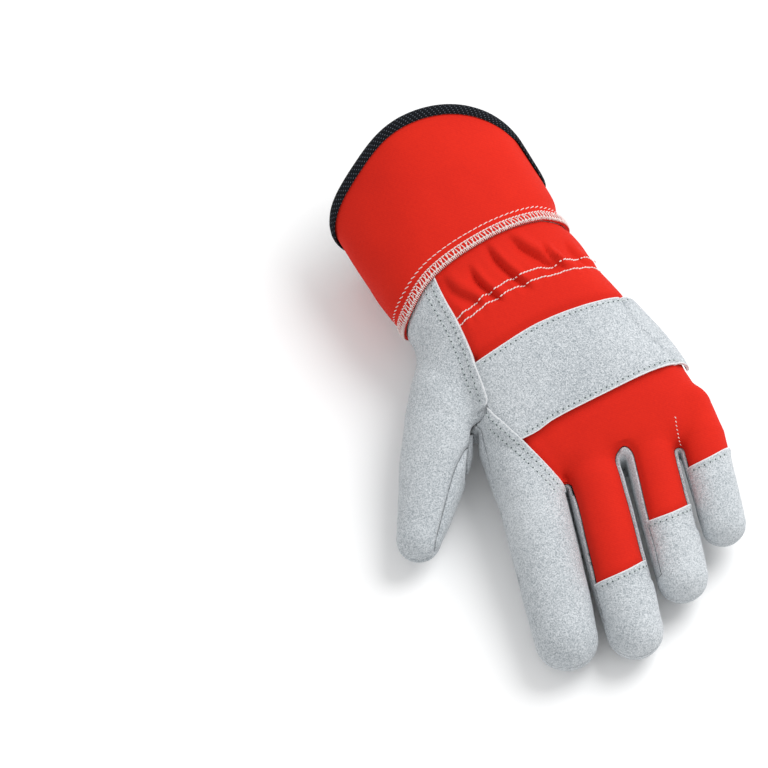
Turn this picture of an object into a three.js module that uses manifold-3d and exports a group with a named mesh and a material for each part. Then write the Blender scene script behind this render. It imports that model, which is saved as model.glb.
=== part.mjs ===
import * as THREE from 'three';
import { mergeVertices } from 'three/addons/utils/BufferGeometryUtils.js';
import Module from 'manifold-3d';

const wasm = await Module();
wasm.setup();

// A left-hand work glove of split leather and red cloth, lying palm down as if filled by a hand.
// +Y runs from the fingertips to the cuff, the thumb is on the -X side, z = 0 is the surface
// that it lies on, and the origin is on the flattened palm under the knuckles. Millimetres.
const palmWidth = 100; // across the knuckles
const palmLength = 108; // finger crotches to cuff seam
const palmHeight = 52; // top of the knuckles
const cuffWidth = 97;
const cuffLength = 60; // cuff seam to rim on the back
const cuffHeight = 66;
const thumbLength = 114;
const thumbWidth = 38; // at its root
const indexLength = 107; // fingers are measured from inside the knuckles
const indexWidth = 30.4;
const middleLength = 106;
const middleWidth = 28.2;
const ringLength = 88.5;
const ringWidth = 25.2;
const littleLength = 64.5;
const littleWidth = 21.6;
const wall = 1.6; // leather and cloth of the shell
const seamGap = 0.3; // between neighbouring pieces
const strapWall = 1.4;
const patchWall = 1.4;
const patchWidth = 72;
const patchReach = 24; // past the cuff seam
const patchCorner = 11;
const bindingWidth = 4.4;
const bindingWall = 1.1;
const splitWidth = 12; // opening of the cuff at the rim, on the little finger side
const splitLength = 20; // from the rim towards the cuff seam
const gatherHeight = 1.4; // folds over the wrist elastic
const gatherCount = 7;
const gatherSlant = 1.4; // turn of the folds, in radians for each row of the sections below
const gatherPlace = 7.2; // in rows
const gatherSpread = 0.75;
const cuffSeamHeight = 0.565; // share of the palm's length from the origin to the cuff seam
const bodySides = 36;
const liningSides = 24;
const digitSides = 12;
const far = 400; // reach of the cutting prisms

// Sections of the hand, from the crotches to the cuff seam. across and half are shares of the
// palm's width, along of its length, top and low of its height. turn is in degrees, lean is how
// far the back runs ahead of the sides for its height, and a square of 1 makes an ellipse.
const palmSections = [
  { along: -0.455, across: 0.0, half: 0.475, top: 0.62, low: 0.17, turn: 0, lean: 0, square: 0.8 },
  { along: -0.42, across: 0.0, half: 0.515, top: 0.72, low: 0.04, turn: 0, lean: 0, square: 0.8 },
  { along: -0.34, across: 0.003, half: 0.527, top: 0.82, low: -0.02, turn: 0, lean: 0, square: 0.8 },
  { along: -0.2, across: -0.014, half: 0.512, top: 0.92, low: -0.03, turn: 0, lean: 0, square: 0.8 },
  { along: -0.04, across: -0.036, half: 0.488, top: 0.99, low: -0.03, turn: 3, lean: 0, square: 0.8 },
  { along: 0.13, across: -0.1, half: 0.464, top: 1.03, low: -0.03, turn: 8, lean: 0, square: 0.8 },
  { along: 0.31, across: -0.175, half: 0.45, top: 1.06, low: -0.03, turn: 12, lean: 0, square: 0.82 },
  { along: 0.46, across: -0.225, half: 0.442, top: 1.09, low: 0.0, turn: 15, lean: 0.05, square: 0.84 },
];
// Sections of the cuff, from its seam to its rim: along and half are shares of its own sizes.
const cuffSections = [
  { along: 0.0, across: -0.262, half: 0.462, top: 0.92, low: 0.034, turn: 18, lean: 0.1, square: 0.86 },
  { along: 0.14, across: -0.28, half: 0.477, top: 0.95, low: 0.034, turn: 15, lean: 0.18, square: 0.88 },
  { along: 0.38, across: -0.312, half: 0.478, top: 0.98, low: 0.034, turn: 10, lean: 0.4, square: 0.93 },
  { along: 0.7, across: -0.345, half: 0.466, top: 1.035, low: 0.034, turn: 4, lean: 0.8, square: 0.98 },
];
const lowLean = 0.4; // share of the lean that the palm side of a section takes
// Flat and full places of the cuff's rim: their angle round it in radians, the row, the depth as a
// share of the radius, and how far they spread in radians and in rows.
const rimDents = [
  { angle: 2.35, row: 11.2, depth: 0.075, spread: 0.5, rows: 2.2 },
  { angle: 3.1, row: 11.2, depth: -0.085, spread: 0.4, rows: 1.3 },
];

const cuffSeamY = cuffSeamHeight * palmLength;
const sections = [
  ...palmSections.map((row) => ({
    x: row.across * palmWidth,
    y: row.along * palmLength,
    half: row.half * palmWidth,
    top: row.top * palmHeight,
    low: row.low * palmHeight,
    turn: THREE.MathUtils.degToRad(row.turn),
    lean: row.lean,
    square: row.square,
  })),
  ...cuffSections.map((row) => ({
    x: row.across * palmWidth,
    y: cuffSeamY + row.along * cuffLength,
    half: row.half * cuffWidth,
    top: row.top * cuffHeight,
    low: row.low * cuffHeight,
    turn: THREE.MathUtils.degToRad(row.turn),
    lean: row.lean,
    square: row.square,
  })),
];
const rim = sections.length - 1;
const seamRow = palmSections.length;

// Digits: where the root lies as shares of the palm, and the heading from -Y towards the thumb.
const digits = {
  thumb: { rootX: -0.398, rootY: 0.3685, heading: 29.5, length: thumbLength, width: thumbWidth },
  index: { rootX: -0.3435, rootY: -0.23, heading: 5.2, length: indexLength, width: indexWidth },
  middle: { rootX: -0.066, rootY: -0.275, heading: 3.4, length: middleLength, width: middleWidth },
  ring: { rootX: 0.213, rootY: -0.26, heading: 4.0, length: ringLength, width: ringWidth },
  little: { rootX: 0.447, rootY: -0.295, heading: 3.0, length: littleLength, width: littleWidth },
};
// Half width along a digit as a share of its width. The tip beyond the last row is round.
const fingerShape = [
  { along: 0.0, half: 0.42 },
  { along: 0.22, half: 0.54 },
  { along: 0.45, half: 0.52 },
  { along: 0.7, half: 0.5 },
  { along: 0.87, half: 0.47 },
];
const thumbShape = [
  { along: 0.0, half: 0.44 },
  { along: 0.2, half: 0.46 },
  { along: 0.31, half: 0.48 },
  { along: 0.43, half: 0.47 },
  { along: 0.62, half: 0.415 },
  { along: 0.74, half: 0.36 },
  { along: 0.85, half: 0.305 },
  { along: 0.9, half: 0.275 },
];
const tipRings = 4;

// Height of the fingers' middle over half the middle finger's width, by the distance past the
// crotches as a share of the middle finger's length. It is also where back and palm are sewn.
const fingerLift = [
  { beyond: -1.6, lift: 0.42 },
  { beyond: -0.5, lift: 0.4 },
  { beyond: -0.22, lift: 0.32 },
  { beyond: -0.1, lift: 0.25 },
  { beyond: 0.0, lift: 0.2 },
  { beyond: 0.25, lift: 0.135 },
  { beyond: 0.5, lift: 0.06 },
  { beyond: 0.75, lift: 0.01 },
  { beyond: 1.2, lift: 0.0 },
];
// The same for the thumb, over a third of its width, from its tip to the cuff seam.
const thumbLift = [
  { beyond: -0.1, lift: 0.02 },
  { beyond: 0.0, lift: 0.04 },
  { beyond: 0.3, lift: 0.12 },
  { beyond: 0.6, lift: 0.24 },
  { beyond: 1.0, lift: 0.3 },
  { beyond: 1.6, lift: 0.32 },
];
const crotchY = palmSections[0].along * palmLength;
const thumbTipShare = 0.575; // how far past the origin the thumb reaches, share of palm length

// Seams seen from above, in shares of the palm's width and length.
const cuffSeamShares = [
  [-1.6, 0.2], [-0.95, 0.3], [-0.69, 0.39], [-0.5, 0.5], [-0.22, 0.583],
  [0.03, 0.624], [0.16, 0.622], [0.9, 0.58],
];
const thumbPanelSeamShares = [[-0.515, 0.72], [-0.505, 0.5], [-0.468, 0.3], [-0.45, 0.13], [-0.445, -0.077]];
const indexPanelSeamShares = [[-0.445, -0.077], [-0.415, -0.16], [-0.36, -0.27], [-0.26, -0.45], [-0.222, -0.52]];
const webSeamShares = [[-0.445, -0.077], [-0.53, -0.135], [-0.64, -0.36], [-0.72, -0.8]];
const thumbInnerSeamShares = [
  [-0.2, 0.02], [-0.45, -0.085], [-0.523, -0.156], [-0.605, -0.212], [-0.673, -0.281], [-0.748, -0.385],
  [-0.816, -0.485], [-0.86, -0.56], [-0.93, -0.72],
];
const thumbPalmSeamShares = [
  [-0.53, -0.135], [-0.47, -0.06], [-0.38, 0.05], [-0.35, 0.2], [-0.42, 0.34], [-0.52, 0.42], [-0.62, 0.6],
];
const crossSeamShares = [[-0.33, -0.47], [-0.216, -0.48], [-0.08, -0.41], [0.1, -0.375], [0.34, -0.365], [0.46, -0.37]];
const strapTopShares = [[-0.9, 0.06], [-0.43, 0.107], [-0.12, 0.173], [0.165, 0.203], [0.36, 0.218], [0.8, 0.22]];
const strapLowShares = [[-0.9, -0.3], [-0.36, -0.272], [-0.175, -0.235], [0.1, -0.192], [0.47, -0.125], [0.8, -0.1]];
// How far down each finger the red cloth reaches, as a share of its length, its end's slope, and
// how much further the end reaches in its middle, as a share of the finger's width.
const stalls = {
  middle: { end: 0.64, slope: 0.17, sag: 0.13 },
  ring: { end: 0.56, slope: 0.1, sag: 0.135 },
  little: { end: 0.41, slope: 0.2, sag: 0.11 },
};
const stallPlaces = [-0.9, -0.5, -0.25, 0, 0.25, 0.5, 0.9]; // across a finger, shares of its width
const gussetHalf = 0.42; // half height of the strips between the fingers, share of half a finger
const gussetInset = 0.6; // their edge across a finger, share of its half width
const gussetEnd = 0.86; // their end along a finger

const leather = new THREE.MeshStandardMaterial({ color: 0xc9d0d5, roughness: 0.95, metalness: 0 });
const cloth = new THREE.MeshStandardMaterial({ color: 0xe6281f, roughness: 0.85, metalness: 0 });
const tape = new THREE.MeshStandardMaterial({ color: 0x17191d, roughness: 0.8, metalness: 0 });

function bell(value) {
  return Math.exp(-(value ** 2));
}

function signedPower(value, power) {
  return Math.sign(value) * Math.abs(value) ** power;
}

// Reads the rows' columns at place t between them, on a smooth curve through the rows.
function rowAt(rows, t) {
  const last = rows.length - 1;
  const index = Math.min(Math.max(Math.floor(t), 0), last - 1);
  const f = Math.min(Math.max(t - index, 0), 1);
  const pick = (i) => rows[Math.min(Math.max(i, 0), last)];
  const mixed = {};
  for (const key of Object.keys(rows[0])) {
    const [a, b, c, d] = [-1, 0, 1, 2].map((i) => pick(index + i)[key]);
    const [slopeB, slopeC] = [(c - a) / 2, (d - b) / 2];
    const [square, cube] = [f * f, f * f * f];
    mixed[key] = (2 * cube - 3 * square + 1) * b + (cube - 2 * square + f) * slopeB
      + (3 * square - 2 * cube) * c + (cube - square) * slopeC;
  }
  return mixed;
}

// Straight interpolation of one column by another.
function lookUp(rows, from, to, value) {
  const next = rows.findIndex((row) => row[from] >= value);
  if (next <= 0) return rows[next === 0 ? 0 : rows.length - 1][to];
  const [a, b] = [rows[next - 1], rows[next]];
  return THREE.MathUtils.mapLinear(value, a[from], b[from], a[to], b[to]);
}

// Height of the seam between back and palm at a place along the glove.
function seamHeight(y) {
  const lift = lookUp(fingerLift, 'beyond', 'lift', (crotchY - y) / middleLength);
  return middleWidth / 2 + lift * palmHeight;
}

function thumbSeamHeight(y) {
  const beyond = (y + thumbTipShare * palmLength) / thumbLength;
  return thumbWidth / 3 + lookUp(thumbLift, 'beyond', 'lift', beyond) * palmHeight;
}

// One ring of the hand and cuff at place t, grown outwards by grow.
function bodyRing(t, grow, sides, gathers) {
  const row = rowAt(sections, Math.min(t, rim));
  const y = row.y + Math.max(t - rim, 0) * cuffLength;
  const middle = (row.top + row.low) / 2;
  const half = row.half + grow;
  const rise = (row.top - row.low) / 2 + grow;
  const wrist = bell((t - gatherPlace) / gatherSpread);
  const ring = [];
  for (let i = 0; i < sides; i += 1) {
    const angle = (2 * Math.PI * i) / sides;
    const full = rimDents.reduce((share, dent) => {
      const off = ((angle - dent.angle + 3 * Math.PI) % (2 * Math.PI)) - Math.PI;
      return share * (1 - dent.depth * bell(off / dent.spread) * bell((t - dent.row) / dent.rows));
    }, 1);
    const across = full * half * signedPower(Math.cos(angle), row.square);
    const up = full * rise * signedPower(Math.sin(angle), row.square);
    const ripple = 0.5 + 0.5 * Math.cos((Math.PI * gatherCount * across) / half + gatherSlant * t);
    const fold = gathers * gatherHeight * wrist * ripple * Math.max(up / rise, 0);
    const out = row.lean * (up > 0 ? up : lowLean * up);
    ring.push(new THREE.Vector3(
      row.x + across * Math.cos(row.turn) - out * Math.sin(row.turn),
      y + across * Math.sin(row.turn) + out * Math.cos(row.turn),
      middle + up + fold,
    ));
  }
  return ring;
}

// The hand and cuff as one solid between places from and to. Its rings lie at whole steps, so
// that two such solids follow each other closely.
function body(grow, from, to, step, sides, gathers = 0) {
  const places = [from];
  for (let t = step * (Math.floor(from / step) + 1); t < to - step / 8; t += step) places.push(t);
  return loft([...places, to].map((t) => bodyRing(t, grow, sides, gathers)));
}

function outside(grow, from, to, gathers = 0) {
  return body(grow, from, to, 0.5, bodySides, gathers);
}

function inside(inset, from, to) {
  return body(-inset, from, to, 1, liningSides);
}

function headingOf(digit) {
  const angle = THREE.MathUtils.degToRad(digit.heading);
  return new THREE.Vector2(-Math.sin(angle), -Math.cos(angle));
}

// Point of a digit's middle line seen from above, at a share of its length.
function digitPoint(digit, along) {
  const root = new THREE.Vector2(digit.rootX * palmWidth, digit.rootY * palmLength);
  return root.addScaledVector(headingOf(digit), along * digit.length);
}

// One digit as a tube of oval rings with a round tip, shrunk by inset.
function digitSolid(name, inset) {
  const digit = digits[name];
  const shape = name === 'thumb' ? thumbShape : fingerShape;
  const height = name === 'thumb' ? thumbSeamHeight : seamHeight;
  const heading = headingOf(digit);
  const side = new THREE.Vector2(-heading.y, heading.x);
  const rings = [];
  const addRing = (along, half) => {
    const centre = digitPoint(digit, along);
    const z = Math.max(height(centre.y), half);
    const ring = [];
    for (let i = 0; i < digitSides; i += 1) {
      const angle = (2 * Math.PI * i) / digitSides;
      const across = -half * Math.cos(angle);
      ring.push(new THREE.Vector3(
        centre.x + across * side.x, centre.y + across * side.y, z + half * Math.sin(angle),
      ));
    }
    rings.push(ring);
  };
  const step = inset > 0 || name === 'thumb' ? 1 : 0.5;
  for (let t = 0; t <= shape.length - 1; t += step) {
    const row = rowAt(shape, t);
    addRing(row.along, row.half * digit.width - inset);
  }
  const last = shape[shape.length - 1];
  const tipStart = last.along * digit.length;
  for (let i = 1; i <= tipRings; i += 1) {
    const bend = (Math.PI / 2) * (i / (tipRings + 0.4));
    const reach = (digit.length - inset - tipStart) * Math.sin(bend);
    addRing((tipStart + reach) / digit.length, (last.half * digit.width - inset) * Math.cos(bend));
  }
  return loft(rings);
}

// Closes a row of rings into a solid, with a fan of triangles over each end.
function loft(rings) {
  const sides = rings[0].length;
  const points = rings.flat();
  const faces = [];
  for (let r = 0; r < rings.length - 1; r += 1) {
    for (let i = 0; i < sides; i += 1) {
      const [a, b] = [r * sides + i, r * sides + ((i + 1) % sides)];
      faces.push(a, b, b + sides, a, b + sides, a + sides);
    }
  }
  for (const [r, turned] of [[0, true], [rings.length - 1, false]]) {
    const hub = points.length;
    const middle = rings[r].reduce((sum, point) => sum.add(point), new THREE.Vector3());
    points.push(middle.divideScalar(sides));
    for (let i = 0; i < sides; i += 1) {
      const [a, b] = [r * sides + i, r * sides + ((i + 1) % sides)];
      faces.push(...(turned ? [hub, b, a] : [hub, a, b]));
    }
  }
  const solid = solidFrom(points.flatMap((p) => [p.x, p.y, p.z]), faces);
  return solid.volume() > 0 ? solid : solidFrom(points.flatMap((p) => [p.x, p.y, p.z]), faces.reverse());
}

function solidFrom(positions, faces) {
  const vertProperties = new Float32Array(positions);
  const triVerts = new Uint32Array(faces);
  return new wasm.Manifold(new wasm.Mesh({ numProp: 3, vertProperties, triVerts }));
}

function solidOf(geometry) {
  geometry.deleteAttribute('normal');
  geometry.deleteAttribute('uv');
  const merged = mergeVertices(geometry, 1e-4);
  return solidFrom(merged.attributes.position.array, merged.index.array);
}

// A prism that stands on an outline seen from above, or lies along X on one seen from the side.
function prism(outline, sideways = false) {
  const shape = new THREE.Shape(outline.map(([x, y]) => new THREE.Vector2(x, y)));
  const geometry = new THREE.ExtrudeGeometry(shape, { depth: 2 * far, bevelEnabled: false });
  geometry.translate(0, 0, -far);
  if (sideways) {
    geometry.applyMatrix4(new THREE.Matrix4().makeBasis(
      new THREE.Vector3(0, 1, 0), new THREE.Vector3(0, 0, 1), new THREE.Vector3(1, 0, 0),
    ));
  }
  return solidOf(geometry);
}

// The line moved to its left by distance.
function moved(line, distance) {
  return line.map(([x, y], i) => {
    const [a, b] = [line[Math.max(i - 1, 0)], line[Math.min(i + 1, line.length - 1)]];
    const length = Math.hypot(b[0] - a[0], b[1] - a[1]);
    return [x - (distance * (b[1] - a[1])) / length, y + (distance * (b[0] - a[0])) / length];
  });
}

// A cut of the seam gap's width along a line.
function cut(line, sideways = false) {
  return prism([...moved(line, seamGap / 2), ...moved(line, -seamGap / 2).reverse()], sideways);
}

function onPalm(shares) {
  return shares.map(([across, along]) => [across * palmWidth, along * palmLength]);
}

// The seam between back and palm seen from the side, from past the fingertips to past the cuff seam.
const heightSpan = { start: -1.6, end: 0.9, step: 0.06 }; // shares of the palm's length
function heightLine(height) {
  const line = [];
  const { start, end, step } = heightSpan;
  for (let share = start; share <= end; share += step) line.push([share * palmLength, height(share * palmLength)]);
  return line;
}

const cuffSeam = onPalm(cuffSeamShares);
const thumbPanelSeam = onPalm(thumbPanelSeamShares);
const indexPanelSeam = onPalm(indexPanelSeamShares);
const webSeam = onPalm(webSeamShares);
const thumbInnerSeam = onPalm(thumbInnerSeamShares);
const thumbPalmSeam = onPalm(thumbPalmSeamShares);
const crossSeam = onPalm(crossSeamShares);
const seamLine = heightLine(seamHeight);
const thumbSeamLine = heightLine(thumbSeamHeight);

const cuffSide = prism([...cuffSeam, [far, far], [-far, far]]);
const handSide = prism([...cuffSeam, [far, -far], [-far, -far]]);
const above = prism([...seamLine, [far, far], [-far, far]], true);
const below = prism([...seamLine, [far, -far], [-far, -far]], true);
const thumbAbove = prism([...thumbSeamLine, [far, far], [-far, far]], true);
const thumbBelow = prism([...thumbSeamLine, [far, -far], [-far, -far]], true);
const thumbStripSide = prism([...moved(thumbSeamLine, -wall), [far, far], [-far, far]], true);
const thumbBackSide = prism([...thumbPanelSeam, ...webSeam.slice(1), [-far, -far], [-far, far]]);
const thumbPalmSide = prism([
  ...[...webSeam.slice(1)].reverse(), ...thumbPalmSeam.slice(1), [-far, thumbPalmSeam.at(-1)[1]], [-far, -far],
]);
const thumbOuterSide = prism([...thumbInnerSeam, [-far, -far], [-far, far], [thumbInnerSeam[0][0], far]]);
const floorBlock = (height) => prism([[-far, -far], [far, -far], [far, height], [-far, height]], true);

// Middle line of the slit between two fingers, from inside the hand to past the tips.
function slitLine(left, right) {
  return [0, 0.3, 0.6, 0.9, 1.4].map((along) => {
    const [a, b] = [digitPoint(left, along), digitPoint(right, along)];
    const t = (a.y - b.y) / headingOf(right).y;
    b.addScaledVector(headingOf(right), t);
    const share = left.width / (left.width + right.width);
    return [a.x + (b.x - a.x) * share, a.y];
  });
}

// A finger's edge line at a share of its half width, to the right of its middle where side is 1.
function edgeLine(digit, side, share) {
  return [0, gussetEnd].map((along) => {
    const point = digitPoint(digit, along);
    return [point.x + (side * share * digit.width) / 2, point.y];
  });
}

// Space of the strip between two fingers, grown on every side.
function gussetSpace(left, right, grow) {
  const [a, b] = [edgeLine(left, 1, gussetInset), edgeLine(right, -1, gussetInset)];
  const rise = (gussetHalf * Math.min(left.width, right.width)) / 2 + grow;
  const band = [...moved(seamLine, rise), ...moved(seamLine, -rise).reverse()];
  const outline = [
    [a[0][0] - grow, a[0][1]], [a[1][0] - grow, a[1][1] - grow],
    [b[1][0] + grow, b[1][1] - grow], [b[0][0] + grow, b[0][1]],
  ];
  return prism(outline).intersect(prism(band, true));
}

const slits = {
  index_middle: slitLine(digits.index, digits.middle),
  middle_ring: slitLine(digits.middle, digits.ring),
  ring_little: slitLine(digits.ring, digits.little),
};
const gussetSpaces = (grow) => ({
  index_middle: gussetSpace(digits.index, digits.middle, grow),
  middle_ring: gussetSpace(digits.middle, digits.ring, grow),
  ring_little: gussetSpace(digits.ring, digits.little, grow),
});

// The glove's shell: hand, cuff and digits, flattened underneath, less the hollow.
function withDigits(solid, inset) {
  let glove = solid;
  for (const name of Object.keys(digits)) glove = glove.add(digitSolid(name, inset));
  return glove.subtract(floorBlock(inset));
}

const crotchStep = wall / (sections[1].y - sections[0].y);
const shell = withDigits(outside(0, 0, rim, 1), 0)
  .subtract(withDigits(inside(wall, crotchStep, rim + 0.5), wall));

// Line across a finger at the end of its red cloth, and the side past it.
function stallLine(name) {
  const [digit, stall] = [digits[name], stalls[name]];
  const point = digitPoint(digit, stall.end);
  return stallPlaces.map((across) => [
    point.x + across * digit.width,
    point.y + digit.width * (across * stall.slope - stall.sag * Math.max(1 - (2 * across) ** 2, 0)),
  ]);
}

const fingerSides = {
  middle: prism([...slits.index_middle, ...[...slits.middle_ring].reverse()]),
  ring: prism([...slits.middle_ring, ...[...slits.ring_little].reverse()]),
  little: prism([...slits.ring_little, [far, slits.ring_little.at(-1)[1]], [far, slits.ring_little[0][1]]]),
};
function pastStall(name) {
  return prism([...stallLine(name), [far, -far], [-far, -far]]).intersect(fingerSides[name]);
}
const indexSide = prism([
  ...indexPanelSeam, ...slits.index_middle.slice(2), [-far, -far], ...[...webSeam].reverse(),
]);

// Every seam of the hand as one cutting solid.
let handCuts = cut(thumbPanelSeam).intersect(thumbAbove);
handCuts = handCuts.add(cut(webSeam).intersect(thumbAbove));
handCuts = handCuts.add(cut([...indexPanelSeam, ...slits.index_middle.slice(2)]).intersect(above));
handCuts = handCuts.add(cut(thumbSeamLine, true).intersect(thumbBackSide.add(thumbPalmSide))
  .intersect(thumbOuterSide));
handCuts = handCuts.add(cut(thumbInnerSeam).intersect(thumbAbove).intersect(thumbBackSide));
handCuts = handCuts.add(cut(thumbPalmSeam).intersect(thumbBelow));
handCuts = handCuts.add(cut(seamLine, true).subtract(thumbBackSide));
handCuts = handCuts.add(cut(crossSeam).intersect(below));
for (const name of Object.keys(stalls)) {
  handCuts = handCuts.add(cut(stallLine(name)).intersect(above).intersect(fingerSides[name]));
}
const gussetRooms = gussetSpaces(seamGap);

const hand = shell.intersect(handSide).subtract(cut(cuffSeam));
const thumbTop = thumbBackSide.intersect(thumbAbove).intersect(thumbOuterSide);
const thumbLow = thumbPalmSide.intersect(thumbBelow)
  .add(thumbBackSide.intersect(thumbStripSide).subtract(thumbOuterSide));
let panels = hand.subtract(handCuts);
for (const room of Object.values(gussetRooms)) panels = panels.subtract(room);
const frontSide = prism([
  ...crossSeam.slice(1, -1), ...slits.ring_little.slice(1), ...[...slits.index_middle.slice(1)].reverse(),
]);
const tops = panels.intersect(above).subtract(thumbTop).subtract(thumbLow);
const lows = panels.intersect(below).subtract(thumbTop).subtract(thumbLow);

const parts = new THREE.Group();

function addPiece(name, solid, material) {
  const mesh = solid.getMesh();
  const geometry = new THREE.BufferGeometry();
  geometry.setAttribute('position', new THREE.BufferAttribute(mesh.vertProperties.slice(), 3));
  geometry.setIndex(new THREE.BufferAttribute(mesh.triVerts.slice(), 1));
  geometry.computeVertexNormals();
  const piece = new THREE.Mesh(geometry, material);
  piece.name = name;
  parts.add(piece);
}

addPiece('thumb_back', panels.intersect(thumbTop), leather);
addPiece('thumb_front', panels.intersect(thumbLow), leather);
addPiece('index_back', tops.intersect(indexSide), leather);
addPiece('palm', lows.subtract(frontSide), leather);
addPiece('middle_ring_front', lows.intersect(frontSide), leather);
let cover = tops.subtract(indexSide);
for (const name of Object.keys(stalls)) {
  const past = pastStall(name);
  addPiece(`${name}_tip`, cover.intersect(past), leather);
  cover = cover.subtract(past);
}
addPiece('hand_back', cover, cloth);
for (const [name, space] of Object.entries(gussetSpaces(0))) {
  addPiece(`${name}_gusset`, hand.intersect(space), leather);
}

// The cuff is open on the little finger side: a wedge between the rim and the seam, grown.
const rimRow = sections[rim];
function splitWedge(grow) {
  const height = (rimRow.top + rimRow.low) / 2;
  const half = splitWidth / 2 + grow;
  const slope = splitWidth / 2 / splitLength;
  const tip = rimRow.y - half / slope;
  const reach = cuffLength / slope;
  const wedge = prism([
    [tip, height], [tip + reach, height - cuffLength], [tip + reach, height + cuffLength],
  ], true);
  return wedge.intersect(prism([[rimRow.x, 0], [far, 0], [far, far], [rimRow.x, far]]));
}

const cuffRoom = cuffSide.subtract(cut(cuffSeam));
addPiece('cuff', shell.intersect(cuffRoom).subtract(splitWedge(0)), cloth);

// The tape folded over the rim and over both edges of the split.
const tapeOut = seamGap + bindingWall;
const rimStep = rimRow.y - sections[rim - 1].y;
const splitRows = 1.6; // rows of the cuff that hold the split and its tape
const tapeStart = rim - bindingWidth / rimStep;
const tapeEnd = rim + tapeOut / cuffLength;
const tapeRing = (from) => outside(tapeOut, from, tapeEnd)
  .subtract(inside(wall + tapeOut, from - 0.5, tapeEnd + 0.5));
const alongSplit = tapeRing(rim - splitRows).intersect(splitWedge(bindingWidth)).intersect(cuffRoom);
const taped = outside(seamGap, seamRow, rim + seamGap / cuffLength)
  .subtract(inside(wall + seamGap, seamRow - 1, rim + 1))
  .subtract(splitWedge(-seamGap));
addPiece('cuff_binding', tapeRing(tapeStart).add(alongSplit).subtract(taped)
  .subtract(splitWedge(-tapeOut)), tape);

// The leather strap over the knuckles, laid on the red cloth.
const strapSide = prism([...onPalm(strapTopShares), ...onPalm(strapLowShares).reverse()]);
const strapRing = outside(seamGap + strapWall, 0.5, seamRow)
  .subtract(outside(seamGap, 0, seamRow + 0.5));
let strap = strapRing.intersect(strapSide).intersect(above);
for (const name of Object.keys(digits)) strap = strap.subtract(digitSolid(name, -seamGap));
addPiece('knuckle_strap', strap.subtract(thumbBackSide).subtract(indexSide).subtract(handCuts), leather);

// The palm leather's tongue over the cuff, with round corners.
const cornerSteps = 5;
function patchOutline() {
  const place = sections[seamRow];
  const [side, up] = [Math.cos(place.turn), Math.sin(place.turn)];
  const outline = [[-patchWidth / 2, -patchReach], [patchWidth / 2, -patchReach]];
  for (const [start, corner] of [[0, 1], [Math.PI / 2, -1]]) {
    for (let i = 0; i <= cornerSteps; i += 1) {
      const angle = start + (Math.PI / 2) * (i / cornerSteps);
      outline.push([
        corner * (patchWidth / 2 - patchCorner) + patchCorner * Math.cos(angle),
        patchReach - patchCorner + patchCorner * Math.sin(angle),
      ]);
    }
  }
  return outline.map(([x, y]) => [place.x + x * side - y * up, place.y + x * up + y * side]);
}
const patchRing = outside(seamGap + patchWall, seamRow - 1, rim)
  .subtract(outside(seamGap, seamRow - 2, rim + 1));
addPiece('pulse_patch', patchRing.intersect(prism(patchOutline())).intersect(cuffRoom)
  .intersect(floorBlock(cuffHeight / 3)), leather);

export default parts;
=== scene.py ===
import math

import bpy
import numpy as np
from mathutils import Matrix, Vector


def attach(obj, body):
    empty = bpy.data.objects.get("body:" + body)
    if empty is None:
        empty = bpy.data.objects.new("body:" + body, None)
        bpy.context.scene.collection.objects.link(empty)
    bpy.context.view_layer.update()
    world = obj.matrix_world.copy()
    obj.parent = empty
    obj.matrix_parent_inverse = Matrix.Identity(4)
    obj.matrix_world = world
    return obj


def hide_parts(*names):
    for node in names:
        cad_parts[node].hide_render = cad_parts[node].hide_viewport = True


# A left-hand work glove of grey split leather and red cloth, lying palm down as if filled.
# Surfaces are worked out in millimetres: +Y from the fingertips to the cuff, thumb at -X.
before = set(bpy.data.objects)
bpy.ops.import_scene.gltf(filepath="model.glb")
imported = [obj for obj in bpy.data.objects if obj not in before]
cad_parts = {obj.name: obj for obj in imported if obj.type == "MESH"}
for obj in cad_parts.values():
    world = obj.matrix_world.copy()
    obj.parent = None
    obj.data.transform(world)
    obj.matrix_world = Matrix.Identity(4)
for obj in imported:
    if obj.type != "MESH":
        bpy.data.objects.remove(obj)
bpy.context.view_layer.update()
mm = 0.001
print("frame loaded")

# Sizes of the form, as the frame has them.
size = {
    "palmWidth": 100.0, "palmLength": 108.0, "palmHeight": 52.0,
    "cuffWidth": 97.0, "cuffLength": 60.0, "cuffHeight": 66.0,
    "cuffSeam": 0.565,  # share of the palm's length
    "lowLean": 0.4,
    "floorSoftness": 2.0, "fingerBlend": 4.0, "thumbBlend": 6.0, "knuckleRound": 9,
    "restSkin": 0.3, "restThread": 0.05,  # lowest height of leather and of anything sewn on it
}

# Sections of the hand and then of the cuff, as shares of those sizes.
handSections = {
    "along": [-0.455, -0.42, -0.34, -0.2, -0.04, 0.13, 0.31, 0.46],
    "across": [0.0, 0.0, 0.003, -0.014, -0.036, -0.1, -0.175, -0.225],
    "half": [0.475, 0.515, 0.527, 0.512, 0.488, 0.464, 0.45, 0.442],
    "top": [0.62, 0.72, 0.82, 0.92, 0.99, 1.03, 1.06, 1.09],
    "low": [0.17, 0.04, -0.02, -0.03, -0.03, -0.03, -0.03, 0.0],
    "turn": [0, 0, 0, 0, 3, 8, 12, 15],
    "lean": [0, 0, 0, 0, 0, 0, 0, 0.05],
    "square": [0.8, 0.8, 0.8, 0.8, 0.8, 0.8, 0.82, 0.84],
}
cuffSections = {
    "along": [0.0, 0.14, 0.38, 0.7],
    "across": [-0.262, -0.28, -0.312, -0.345],
    "half": [0.462, 0.477, 0.478, 0.466],
    "top": [0.92, 0.95, 0.98, 1.035],
    "low": [0.034, 0.034, 0.034, 0.034],
    "turn": [18, 15, 10, 4],
    "lean": [0.1, 0.18, 0.4, 0.8],
    "square": [0.86, 0.88, 0.93, 0.98],
}
seamRow = len(handSections["along"])
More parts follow.
